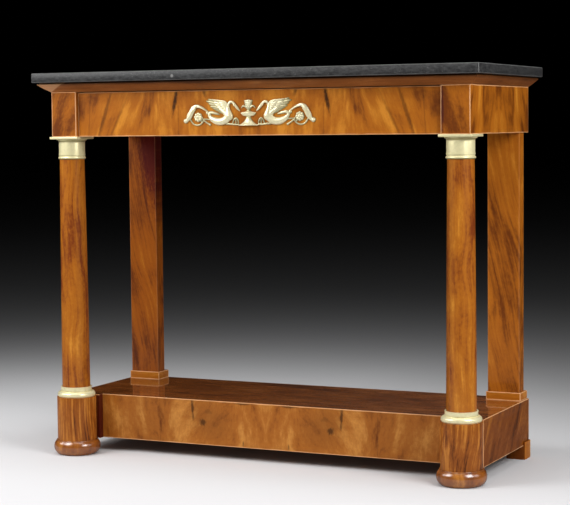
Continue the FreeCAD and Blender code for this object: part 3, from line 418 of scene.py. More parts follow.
def veneer(name, grain=upright, figure=None, shade=0.0, marks=(), joint=None, edges=None, open_sides="",
           arris=ARRIS, patch=None, colours=None, dark=None, gloss=0.25, polish=0.07, flank=None, dust=None,
           **changes):
    """A french polished veneer: its figure, knots and strokes, and the pale lines along its edges, partly
    worn arris and partly painted highlight.
    """
    material, graph, place = new_material(name)
    tone, pores = figured(graph, grain(graph, place), {**(figure or {}), **changes})
    tone = graph.minus(tone, shade)
    if flank:
        flank_grain, flank_figure, flank_shade = flank
        other = graph.minus(figured(graph, flank_grain(graph, place), flank_figure)[0], flank_shade)
        tone = graph.blend(sideways(graph), tone, other)
    strokes = dark_strokes(graph, place, marks, joint)
    # A patch is painted light, drawn in the colour of the pale edge line
    line = patch(graph, place) if patch else 0.0
    # Painted shade: a dark band near the top of the piece, under the slab's overhang, in the knot colour
    if dust:
        strokes = graph.math("MAXIMUM", strokes, graph.ease(graph.split(place)["Z"], *dust, 0.0, DUST))
    if edges:
        line = graph.times(worn_line(graph, place, *edge_box(edges, open_sides)), arris)
    wood = wooden(graph, tone, pores, colours, strokes, line, dark)
    close_material(graph, {
        "Base Color": wood["Colour"], "Roughness": wood["Roughness"], "Specular IOR Level": WOOD_GLINT,
        "Coat Weight": min(gloss, 1.0), "Coat Roughness": polish,
        "Coat IOR": VARNISH if gloss <= 1.0 else HARD_VARNISH}, wood["Height"])
    return material


def dark_strokes(graph, place, marks, joint=None):
    """Mask of knots and strokes; each is its centre across and up, half sizes, lean and strength."""
    x, _, z = graph.split(place)
    across = x if joint is None else graph.apart(x, joint)
    strokes = 0.0
    for mark_across, mark_up, half_width, half_height, lean, strength in marks:
        mask = use_group(graph, dark_mark(), {
            "Across": across, "Up": z, "Mark across": mark_across, "Mark up": mark_up,
            "Half width": half_width, "Half height": half_height, "Lean": lean, "Strength": strength})["Mark"]
        strokes = graph.math("MAXIMUM", mask, strokes)
    return strokes


def facing(graph):
    """How squarely a face looks along each axis, either way."""
    return graph.split(graph.vector("ABSOLUTE", graph.add("ShaderNodeNewGeometry").outputs["Normal"]))


def sideways(graph):
    """Mask of the faces at the table's sides."""
    return graph.ease(facing(graph)["X"], 0.6, 0.8)


def figured(graph, grain, values):
    """Tone and pores of a figure along a grain; values that aren't given are those of plain veneer."""
    given = {name.capitalize(): value for name, value in {**PLAIN_FIGURE, **values}.items()}
    outputs = use_group(graph, veneer_figure(), {"Grain": grain, **given})
    return outputs["Tone"], outputs["Pores"]


def wooden(graph, tone, pores, colours=None, marks=0.0, line=0.0, dark=None):
    """Polished wood in the given tones, or in those of the mahogany."""
    looks = bpy.context.scene.pier_veneer
    deep, warm, pale = colours or (looks.deep, looks.warm, looks.pale)
    return use_group(graph, polished_wood(), {
        "Tone": tone, "Pores": pores, "Marks": marks, "Line": line, "Deep": tuple(deep), "Warm": tuple(warm),
        "Pale": tuple(pale), "Dark": tuple(dark or looks.mark), "Worn": tuple(looks.arris)})


def worn_line(graph, place, low, high):
    """Mask of the pale line along the edges of a box."""
    return use_group(graph, edge_line(), {
        "Place": place, "Centre": (low + high) / 2, "Half": (high - low) / 2,
        "Width": bpy.context.scene.pier_veneer.arris_width})["Line"]


# Far enough to take a side's line off the piece
OUT_OF_REACH = 50 * MM


def edge_box(node, open_sides):
    """Corners of a node's box, with the sides that show no line pushed out of reach."""
    low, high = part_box(node)
    for sign, axis in open_sides.split():
        corner = high if sign == "+" else low
        corner["XYZ".index(axis)] += OUT_OF_REACH if sign == "+" else -OUT_OF_REACH
    return low, high


def oak_material():
    material, graph, place = new_material("oak_lining")
    tone, pores = figured(graph, lying(graph, place), OAK)
    oak = Vector(bpy.context.scene.pier_veneer.oak)
    wood = wooden(graph, tone, pores, (oak * 0.55, oak, oak * 1.3), dark=oak * 0.3)
    close_material(graph, {"Base Color": wood["Colour"], "Roughness": graph.plus(wood["Roughness"], 0.25),
                           "Specular IOR Level": 0.3}, wood["Height"], 0.12 * MM)
    return material


def gilt_material(name, ground=None, shade=1.0, under=0.0):
    """Satin gilding; tarnish and painted shade near the ground of a casting, and painted shade in the tarnish
    colour on faces that look down.
    """
    looks = bpy.context.scene.pier_bronze
    material, graph, place = new_material(name)
    marks = use_group(graph, tarnish(), {"Place": place})
    red, green, blue = looks.gilt
    hollow = tuple(looks.hollow)
    colour = graph.mix(graph.times(marks["Bloom"], 0.16), (red, green, blue * shade), hollow)
    # Darker near the casting's ground: partly tarnish in the hollows, partly painted shade where the casting
    # meets the drawer
    if ground is not None:
        height = graph.minus(ground, graph.split(place)[1])
        colour = graph.mix(graph.ease(height, 0.3 * MM, 4.0 * MM, 1.0, 0.0), colour, hollow)
    # Painted shade: faces that look down take the tarnish colour
    if under:
        down = graph.split(graph.add("ShaderNodeNewGeometry").outputs["Normal"])["Z"]
        colour = graph.mix(graph.ease(down, -0.5, -0.05, under, 0.0), colour, hollow)
    rough = graph.ease(marks["Bloom"], 0.0, 1.0, 0.30, 0.42)
    close_material(graph, {"Base Color": colour, "Roughness": rough, "Metallic": 0.36}, marks["Grain"],
                   0.03 * MM)
    return material


# Where the pale speck sits on the slab's front
CHIP = Vector((-173.0, -222.0, 887.0)) * MM


def stone_material():
    looks = bpy.context.scene.pier_stone
    material, graph, place = new_material("dark_stone")
    pale = tuple(looks.fleck)
    cloud = graph.noise(place, (90.0, 100.0, 190.0), 6.0, 0.75, 0.3)
    colour = graph.mix(graph.ease(cloud, 0.34, 0.70), tuple(looks.ground), tuple(looks.cloud))
    fleck = graph.ease(graph.noise(place, (150.0, 170.0, 420.0), 3.0, 0.7), 0.60, 0.74)
    colour = graph.mix(graph.times(fleck, 0.55), colour, pale)
    # Pale line along the slab's edges: partly wear, partly painted highlight
    line = worn_line(graph, place, *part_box("stone_top"))
    colour = graph.mix(graph.times(line, 0.3), colour, pale)
    reach = graph.length(graph.vector("SUBTRACT", place, CHIP))
    colour = graph.mix(graph.ease(reach, 2 * MM, 5 * MM, 0.9, 0.0), colour, pale)
    grit = graph.noise(place, (1200.0, 1200.0, 1200.0), 3.0, 0.7)
    rough = graph.ease(cloud, 0.3, 0.7, 0.40, 0.55)
    close_material(graph, {"Base Color": colour, "Roughness": rough, "Specular IOR Level": 0.4}, grit,
                   0.08 * MM)
    return material


# Meshes and objects

def put(name, data):
    """A new object in the scene."""
    item = bpy.data.objects.new(name, data)
    bpy.context.scene.collection.objects.link(item)
    return item


def set_material(mesh, material):
    mesh.materials.clear()
    mesh.materials.append(material)


def new_piece(name, mesh, material, body, slot, *nodes):
    """A finished piece that stands for its CAD nodes and rides on a body."""
    mesh.name = name
    set_material(mesh, material)
    piece = put(name, mesh)
    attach(piece, body)
    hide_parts(*nodes)


def dress(node, material):
    """Gives a CAD node its finish."""
    set_material(NODES[node].data, material)


def dress_board(node, grain, figure=None, **more):
    """Veneers a board that keeps its solid, with pale lines along its edges, partly wear and partly painted
    highlight.
    """
    dress(node, veneer(f"{node}_veneer", grain, figure, edges=node, **more))


def plain_mesh(shape):
    """A mesh from an edited shape, which is used up."""
    mesh = bpy.data.meshes.new("shape")
    shape.to_mesh(mesh)
    shape.free()
    return mesh


def smooth_mesh(shape, angle=40):
    """A mesh from an edited shape, smooth except at its sharp edges."""
    mesh = plain_mesh(shape)
    mesh.shade_smooth()
    mesh.set_sharp_from_angle(angle=math.radians(angle))
    return mesh


def settled_mesh(source):
    """The plain mesh that an object's modifiers make; the object and its modifiers go."""
    bpy.context.view_layer.update()
    shown = bpy.context.evaluated_depsgraph_get()
    mesh = bpy.data.meshes.new_from_object(source.evaluated_get(shown), depsgraph=shown)
    source.modifiers.clear()
    bpy.data.objects.remove(source)
    return mesh


def joined_shape(meshes):
    """One edited shape from several meshes, which are used up."""
    shape = bmesh.new()
    for mesh in meshes:
        shape.from_mesh(mesh)
        bpy.data.meshes.remove(mesh)
    return shape


def arc_points(start, through, end, count=12):
    """Points after the start of the arc that runs through a middle point."""
    a, b, c = (Vector((*point, 0.0)) for point in (start, through, end))
    first, second = b - a, c - a
    normal = first.cross(second)
    if normal.length < 1e-12:
        return [end]
    centre = a + (normal.cross(first) * second.length_squared
                  + second.cross(normal) * first.length_squared) / (2 * normal.length_squared)
    radius = a - centre
    total = radius.angle(c - centre)
    axis = normal.normalized()
    if (b - centre).angle(radius) + (b - centre).angle(c - centre) > total + 1e-4:
        total = math.tau - total
    return [tuple((centre + Matrix.Rotation(total * step / count, 3, axis) @ radius).xy)
            for step in range(1, count + 1)]


def profile_points(corners, soft=0.5 * MM):
    """Outline of a turning: each corner is (radius, height) or (radius, height, middle) after an arc."""
    points = []
    for number, corner in enumerate(corners):
        if len(corner) == 3:
            points += arc_points(corners[number - 1][:2], corner[2], corner[:2])
        else:
            points.append(corner)
    rounded = [points[0]]
    for before, point, after in zip(points, points[1:], points[2:]):
        here = Vector(point)
        back, ahead = Vector(before) - here, Vector(after) - here
        if back.length < 4 * soft or ahead.length < 4 * soft or back.angle(ahead) > math.radians(150):
            rounded.append(point)
            continue
        start, end = here + back.normalized() * soft, here + ahead.normalized() * soft
        for share in (0.0, 0.25, 0.5, 0.75, 1.0):
            rounded.append(tuple(start.lerp(here, share).lerp(here.lerp(end, share), share)))
    return rounded + [points[-1]]


def turned_mesh(corners, centre, segments=96, closed=False):
    """A turning about an upright axis, from an outline of radius and height."""
    shape = bmesh.new()
    rings = []
    for radius, height in profile_points(corners):
        if radius < 1e-7:
            rings.append([shape.verts.new((centre[0], centre[1], height))])
            continue
        rings.append([shape.verts.new((centre[0] + radius * math.cos(math.tau * step / segments),
                                       centre[1] + radius * math.sin(math.tau * step / segments), height))
                      for step in range(segments)])
    pairs = list(zip(rings, rings[1:])) + ([(rings[-1], rings[0])] if closed else [])
    for low, high in pairs:
        for step in range(segments):
            following = (step + 1) % segments
            around = [low[step % len(low)], low[following % len(low)], high[following % len(high)],
                      high[step % len(high)]]
            face = list(dict.fromkeys(around))
            if len(face) > 2:
                shape.faces.new(face)
    bmesh.ops.recalc_face_normals(shape, faces=shape.faces)
    return smooth_mesh(shape)


def bevelled_box(low, high, width):
    shape = bmesh.new()
    bmesh.ops.create_cube(shape, size=1.0)
    for vertex in shape.verts:
        vertex.co = Vector(low[axis] if vertex.co[axis] < 0 else high[axis] for axis in range(3))
    bmesh.ops.bevel(shape, geom=shape.edges[:], offset=width, segments=3, profile=0.5, affect="EDGES")
    return shape


# Boards that keep their solids

class PIER_OT_boards(bpy.types.Operator):
    """Veneers the frieze, the drawer front, the pilasters and the plinth"""
    bl_idname = "pier_table.boards"
    bl_label = "Veneer the boards"

    def execute(self, context):
        self.drawer()
        for side, sign in SIDES:
            self.frieze(side, sign)
            self.pilaster(side, sign)
            self.plinth_side(side, sign)
        self.plinth()
        return {"FINISHED"}

    def drawer(self):
        low, high = (corner.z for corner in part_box("drawer_front"))
        grain = matched(DRAWER_JOINT, slope=0.34, start=0.22, end=0.48, foot=low)
        dress_board(
            "drawer_front", grain, streaks=60.0, flame=1.3, contrast=0.75, seed=3.1, shade=-0.08,
            joint=DRAWER_JOINT,
            marks=[(0.188, high - 22 * MM, 6 * MM, 40 * MM, -0.2, 0.95),
                   (0.180, low + 40 * MM, 0.9 * MM, 50 * MM, 0.0, 0.5),
                   (0.114, high - 2 * MM, 6 * MM, 14 * MM, 0.3, 0.6),
                   (0.373, low + 52 * MM, 6 * MM, 80 * MM, -0.34, 0.5),
                   (0.342, low + 34 * MM, 5 * MM, 60 * MM, -0.5, 0.35),
                   (0.415, low + 50 * MM, 2 * MM, 90 * MM, -0.06, 0.3)])

    def frieze(self, side, sign):
        # Painted shade: a dark strip along the inner edge of the right block's front, in the blocks' dark
        # red, which is also their pore colour
        inner_edge = [(0.4545, 0.80, 5 * MM, 70 * MM, 0.0, 0.8)]
        dress_board(
            f"corner_block_{side}", leaning(0.3 * sign), streaks=50.0, flame=0.6, contrast=0.5, mottle=0.5,
            seed=5.0 + sign, shade=0.2, open_sides="+Y", flank=(FRIEZE_GRAIN, FRIEZE_SIDE, FRIEZE_SHADE),
            dark=srgb(70, 26, 24), marks=inner_edge if sign > 0 else [])
        dress_board(f"frieze_side_{side}", FRIEZE_GRAIN, FRIEZE_SIDE, shade=FRIEZE_SHADE, open_sides="-Y")

    def pilaster(self, side, sign):
        red_head = [(-0.452, 0.72, 46 * MM, 190 * MM, -0.12, 0.92)]
        dress_board(
            f"pilaster_{side}", leaning(0.22), streaks=110.0, flame=0.4, contrast=1.0, seed=12.0 + 3 * sign,
            shade=0.09 - 0.04 * sign, marks=red_head if sign < 0 else [], dark=srgb(84, 12, 12), arris=0.12,
            colours=LEFT_PILASTER_TONES if sign < 0 else None)
        dress_board(f"pilaster_base_{side}", lying, streaks=150.0, flame=0.6, seed=15.0 + sign, shade=-0.05)

    def plinth_side(self, side, sign):
        # Painted shade on the left block's inner return face
        inner_return = [(-0.443, 0.08, 14 * MM, 0.2, 0.0, 0.9)]
        dress_board(f"plinth_side_{side}", side_leaning, PLINTH_SIDE, colours=SIDE_TONES, open_sides="+Z -Y",
                    gloss=0.0)
        dress_board(
            f"plinth_block_{side}", side_leaning, PLINTH_SIDE, colours=SIDE_TONES, dark=MAROON, gloss=0.0,
            marks=inner_return if sign < 0 else [], open_sides="+Z +Y +X" if sign < 0 else "+Z +Y")

    def plinth(self):
        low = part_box("plinth_front")[0].z
        grain = matched(PLINTH_JOINT, slope=0.5, start=0.03, end=0.27, foot=low)
        marks = [(0.163, low + 53 * MM, 13 * MM, 12 * MM, 0.0, 0.8),
                 (0.190, low + 84 * MM, 5 * MM, 36 * MM, 0.05, 0.8),
                 (0.148, low + 78 * MM, 14 * MM, 12 * MM, 0.3, 0.4),
                 (0.150, low + 60 * MM, 75 * MM, 60 * MM, 0.3, 0.22),
                 (0.060, low + 103 * MM, 24 * MM, 5 * MM, 0.0, 0.7),
                 (0.058, low + 9 * MM, 3 * MM, 9 * MM, 0.0, 0.6),
                 (0.277, low + 50 * MM, 0.8 * MM, 140 * MM, 0.0, 0.5),
                 (0.130, low + 66 * MM, 30 * MM, 16 * MM, 0.0, 0.25),
                 (0.310, low + 60 * MM, 120 * MM, 140 * MM, 0.0, 0.14)]
        dress_board("plinth_front", grain, PLINTH_FRONT, shade=PLINTH_SHADE, joint=PLINTH_JOINT, marks=marks,
                    open_sides="+Z", colours=PLINTH_TONES, gloss=0.1)
        dress("plinth_top", self.platform(grain, marks))

    def platform(self, grain, marks):
        """The board of the platform: long dark grain on top, and the walls' own veneers on its edges."""
        material, graph, place = new_material("platform_veneer")
        x, y, _ = graph.split(place)
        panel_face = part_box("plinth_front")[0].y
        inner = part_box("plinth_block_left")[1].x
        recessed = graph.math("LESS_THAN", graph.math("ABSOLUTE", x), -inner)
        line = self.platform_line(graph, place, recessed, panel_face)
        above = graph.ease(facing(graph)["Z"], 0.6, 0.8)
        side_on = sideways(graph)

        tone, pores = figured(graph, lying(graph, place), PLATFORM)
        top = wooden(graph, tone, pores, PLATFORM_TONES, line=line)
        tone, pores = figured(graph, grain(graph, place), PLINTH_FRONT)
        strokes = dark_strokes(graph, place, marks, PLINTH_JOINT)
        front = wooden(graph, graph.minus(tone, PLINTH_SHADE), pores, PLINTH_TONES, strokes, line)
        tone, pores = figured(graph, side_leaning(graph, place), PLINTH_SIDE)
        side = wooden(graph, tone, pores, SIDE_TONES, line=line)

        colour = graph.mix(side_on, front["Colour"], side["Colour"])
        # Painted shade: the left ear's inner return takes MAROON, as on the plinth block
        corner = graph.times(graph.ease(x, inner - 12 * MM, inner - 6 * MM),
                             graph.math("LESS_THAN", y, panel_face))
        corner = graph.times(corner, graph.math("LESS_THAN", x, 0.0))
        colour = graph.mix(graph.times(corner, graph.minus(0.9, line)), colour, MAROON)
        wall_height = graph.blend(side_on, front["Height"], side["Height"])
        close_material(graph, {
            "Base Color": graph.mix(above, colour, top["Colour"]), "Roughness": top["Roughness"],
            "Specular IOR Level": WOOD_GLINT, "Coat Weight": graph.ease(above, 0.0, 1.0, 0.1, 1.0),
            "Coat Roughness": 0.04}, graph.blend(above, wall_height, top["Height"]))
        return material

    def platform_line(self, graph, place, recessed, panel_face):
        """The pale line along the platform's edge, partly worn arris and partly painted highlight, which
        steps back over the front panel.
        """
        low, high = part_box("plinth_top")
        low.z -= OUT_OF_REACH
        ends = worn_line(graph, place, low, high)
        middle = worn_line(graph, place, Vector((low.x, panel_face, low.z)), high)
        return graph.times(graph.blend(recessed, ends, middle), ARRIS)


class PIER_OT_cornice(bpy.types.Operator):
    """Veneers the sloping moulding under the slab"""
    bl_idname = "pier_table.cornice"
    bl_label = "Veneer the cornice"

    def execute(self, context):
        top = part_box("cornice_front")[1].z
        # Each piece gets a band of painted shade under the slab; the front's left end gets a painted
        # reflection
        for name, grain, seed in (("front", lying, 50.0), ("left", fore_and_aft, 51.0),
                                  ("right", fore_and_aft, 52.0)):
            dress(f"cornice_{name}", veneer(
                f"cornice_{name}_veneer", grain, streaks=120.0, flame=0.6, seed=seed, colours=CORNICE_TONES,
                gloss=0.1, dust=(top - 11 * MM, top - 2 * MM),
                patch=self.faded_end if name == "front" else None))
        return {"FINISHED"}

    def faded_end(self, graph, place):
        """The pale three-cornered patch at the left end of the front, a painted reflection."""
        slope = 2.4
        x, _, z = graph.split(place)
        corner = -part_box("corner_block_right")[1].x
        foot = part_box("cornice_front")[0].z
        slant = graph.times(graph.minus(z, foot), slope)
        return graph.ease(graph.minus(graph.minus(x, corner), slant), -3 * MM, 3 * MM, 0.45, 0.0)


class PIER_OT_linings(bpy.types.Operator):
    """Finishes the oak of the drawer box, the slideways and the back"""
    bl_idname = "pier_table.linings"
    bl_label = "Finish the oak"

    def execute(self, context):
        oak = oak_material()
        for row in frame["record"]["subparts"]:
            if row["material_slot"] == "oak":
                dress(row["node"], oak)
        return {"FINISHED"}


# Turned pieces

class PIER_OT_columns(bpy.types.Operator):
    """Turns the two shafts"""
    bl_idname = "pier_table.columns"
    bl_label = "Turn the columns"

    def execute(self, context):
        tenon, sleeve, neck_radius, middle_radius = 13 * MM, 27.6 * MM, 29 * MM, 31.5 * MM
        shaded_side = [(0.456, 0.45, 15 * MM, 0.6, 0.0, 0.5)]
        for side, sign in SIDES:
            low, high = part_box(f"column_{side}")
            centre = (low + high) / 2
            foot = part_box(f"drum_{side}")[1].z
            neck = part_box(f"capital_{side}")[0].z
            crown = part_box(f"abacus_{side}")[0].z
            mesh = turned_mesh([
                (0.0, low.z), (tenon, low.z), (tenon, foot), (high.x - centre.x, foot),
                (neck_radius, neck, (middle_radius, (foot + neck) / 2)), (sleeve, neck), (sleeve, crown),
                (tenon, crown), (tenon, high.z), (0.0, high.z)], centre)
            material = veneer(
                f"column_{side}_veneer", upright, streaks=130.0, flame=0.7, contrast=1.1, mottle=0.5,
                seed=60.0 + 3 * sign, shade=0.12, colours=COLUMN_TONES, dark=srgb(84, 36, 10),
                marks=shaded_side if sign > 0 else [], gloss=0.35, polish=0.12)
            new_piece(f"shaft_{side}", mesh, material, "frame", "mahogany", f"column_{side}")
        return {"FINISHED"}


class PIER_OT_drums(bpy.types.Operator):
    """Turns the drums and the bun feet"""
    bl_idname = "pier_table.drums"
    bl_label = "Turn drums and feet"

    def execute(self, context):
        for side, sign in SIDES:
            low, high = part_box(f"drum_{side}")
            centre, radius = (low + high) / 2, (high.x - low.x) / 2
            mesh = turned_mesh([(0.0, low.z), (radius, low.z), (radius, high.z), (0.0, high.z)], centre)
            material = veneer(
                f"drum_{side}_veneer", upright, streaks=170.0, flame=0.6, contrast=1.8, seed=70.0 + sign,
                shade=-0.07 + 0.05 * sign, colours=DRUM_TONES, polish=0.12)
            new_piece(f"pedestal_{side}", mesh, material, "frame", "mahogany", f"drum_{side}")
            material = veneer(f"foot_{side}_wood", upright, flame=0.9, seed=75.0 + sign, colours=DRUM_TONES,
                              gloss=1.2, polish=0.2)
            new_piece(f"foot_{side}", self.foot(side, centre, low.z), material, "frame", "mahogany",
                      f"bun_foot_{side}")
        return {"FINISHED"}

    def foot(self, side, centre, top):
        """A bun foot with a narrow collar and a spigot into the drum."""
        low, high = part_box(f"bun_foot_{side}")
        bulge = (high.x - low.x) / 2
        sole, shoulder, collar, spigot = 43.5 * MM, 49.2 * MM, 48.0 * MM, 12 * MM
        collar_swell, girth = 48.8 * MM, 18 * MM
        seat, half_way = top - 2.2 * MM, top - 1.1 * MM
        return turned_mesh([
            (0.0, 0.0), (sole, 0.0), (shoulder, seat, (bulge, girth)), (collar, seat),
            (collar, top, (collar_swell, half_way)), (spigot, top), (spigot, high.z), (0.0, high.z)], centre)


class PIER_OT_rear_feet(bpy.types.Operator):
    """Makes the square rear feet, whose outer leaf laps over the plinth's lower edge"""
    bl_idname = "pier_table.rear_feet"
    bl_label = "Make the rear feet"

    def execute(self, context):
        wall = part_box("plinth_side_right")[1].x
        sunk, lap, arris = 2 * MM, 9 * MM, 0.8 * MM
        for side, sign in SIDES:
            low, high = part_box(f"rear_foot_{side}")
            leaf = [Vector((wall, low.y, high.z - sunk)), Vector((max(-low.x, high.x), high.y, high.z + lap))]
            if sign < 0:
                leaf[0].x, leaf[1].x = -leaf[1].x, -leaf[0].x
            shape = joined_shape([smooth_mesh(bevelled_box(low, high, arris)),
                                  smooth_mesh(bevelled_box(*leaf, arris))])
            # Painted light: the front is darker as painted shade under the plinth, the sides lighter as
            # painted lit faces
            material = veneer(
                f"rear_foot_{side}_wood", upright, streaks=120.0, flame=0.5, seed=21.0, shade=0.5,
                flank=(upright, {"streaks": 120.0, "flame": 0.5}, -0.2), gloss=0.0)
            new_piece(f"rear_block_foot_{side}", smooth_mesh(shape), material, "frame", "mahogany",
                      f"rear_foot_{side}")
        return {"FINISHED"}


class PIER_OT_bronzes(bpy.types.Operator):
    """Turns the capitals and bases and makes the plates over the capitals"""
    bl_idname = "pier_table.bronzes"
    bl_label = "Make capitals and bases"

    def execute(self, context):
        # The capitals get strong painted shade under their plates, the bases a little
        gilt = gilt_material("gilt_capital", shade=0.9, under=0.75)
        base_gilt = gilt_material("gilt_base", shade=0.95, under=0.1)
        for side, _ in SIDES:
            low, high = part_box(f"capital_{side}")
            mesh = self.capital(low, high)
            new_piece(f"capital_ring_{side}", mesh, gilt, "frame", "gilt_bronze", f"capital_{side}")
            mesh = smooth_mesh(bevelled_box(*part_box(f"abacus_{side}"), 0.9 * MM))
            new_piece(f"capital_plate_{side}", mesh, gilt, "frame", "gilt_bronze", f"abacus_{side}")
            mesh = self.base(*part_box(f"column_base_{side}"), (low + high) / 2)
            new_piece(f"base_ring_{side}", mesh, base_gilt, "frame", "gilt_bronze", f"column_base_{side}")
        return {"FINISHED"}

    def capital(self, low, high):
        """A sleeve with a bead at its foot, a groove and fillet over it, and a flared top."""
        bore, neck, flare, swell = 27.75 * MM, 30.6 * MM, (high.x - low.x) / 2, 32.4 * MM
        groove, fillet = neck - 0.4 * MM, neck + 0.9 * MM
        bead = low.z + 6.4 * MM
        fillet_low, fillet_high = bead + 3 * MM, bead + 5.4 * MM
        rise, lip = high.z - 9 * MM, high.z - 2 * MM
        return turned_mesh([
            (bore, high.z), (bore, low.z), (neck, low.z), (neck, bead, (swell, (low.z + bead) / 2)),
            (groove, bead), (groove, fillet_low), (fillet, fillet_low), (fillet, fillet_high),
            (neck, fillet_high), (neck, rise),
            (flare, lip, (neck + (flare - neck) / 4, rise + 4.7 * MM)), (flare, high.z)],
            (low + high) / 2, closed=True)

    def base(self, low, high, centre):
        """A ring with a torus below, a groove and a hollow neck above."""
        bore, swell, foot = 33.35 * MM, (high.x - low.x) / 2, 42.4 * MM
        shoulder, hollow = 38.6 * MM, 35.4 * MM
        step, waist, rim = 36.4 * MM, 36.0 * MM, 36.6 * MM
        girth, torus, groove = low.z + 5.6 * MM, low.z + 13.0 * MM, low.z + 15.0 * MM
        return turned_mesh([
            (bore, high.z), (bore, low.z), (foot, low.z), (shoulder, torus, (swell, girth)), (hollow, torus),
            (hollow, groove), (step, groove), (rim, high.z, (waist, (groove + high.z) / 2))],
            centre, closed=True)


# Stone top

class PIER_OT_stone(bpy.types.Operator):
    """Makes the slab with its softened, slightly chipped edges"""
    bl_idname = "pier_table.stone"
    bl_label = "Make the stone top"

    def execute(self, context):
        low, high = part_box("stone_top")
        rim = self.outline(low, high)
        soft_edge, wear, chips = 3.0 * MM, 0.8 * MM, 90.0
        profile = [(soft_edge, 0.0), (1.7 * MM, 0.0), (0.5 * MM, 0.5 * MM), (0.0, 1.7 * MM)]
        rise = high.z - low.z
        stations = profile + [(0.0, rise / 2)] + [(inset, rise - up) for inset, up in reversed(profile)]
        shape = bmesh.new()
        rings = []
        for inset, up in stations:
            ring = []
            for point, outward in rim:
                place = Vector((*point, low.z + up))
                if 0.0 < inset < soft_edge:
                    worn = max(0.0, noise.noise(place * chips) + 0.2) * wear
                else:
                    worn = 0.0
                ring.append(shape.verts.new(place - outward.to_3d() * (inset + worn)))
            rings.append(ring)
        for lower, upper in zip(rings, rings[1:]):
            for step in range(len(rim)):
                after = (step + 1) % len(rim)
                shape.faces.new((lower[step], lower[after], upper[after], upper[step]))
        shape.faces.new(reversed(rings[0]))
        shape.faces.new(rings[-1])
        new_piece("slab", smooth_mesh(shape), stone_material(), "frame", "dark_stone", "stone_top")
        return {"FINISHED"}

    def outline(self, low, high):
        """Points round the slab and their outward directions; the left front corner is worn the roundest."""
        round_corner, corner_radius, spacing = 7 * MM, 3.2 * MM, 9 * MM
        points = []
        corners = [((low.x, low.y), round_corner, 180), ((high.x, low.y), corner_radius, 270),
                   ((high.x, high.y), corner_radius, 0), ((low.x, high.y), corner_radius, 90)]
        for (x, y), radius, first in corners:
            middle = Vector((x + math.copysign(radius, -x), y + math.copysign(radius, -y)))
            for step in range(7):
                angle = math.radians(first + 15 * step)
                outward = Vector((math.cos(angle), math.sin(angle)))
                points.append((middle + outward * radius, outward))
        rim = []
        for (point, outward), (after, _) in zip(points, points[1:] + points[:1]):
            rim.append((point, outward))
            steps = int((after - point).length / spacing)
            side = Vector((after.y - point.y, point.x - after.x)).normalized()
            rim.extend((point.lerp(after, step / steps), side) for step in range(1, steps))
        return rim


# Gilt ornament

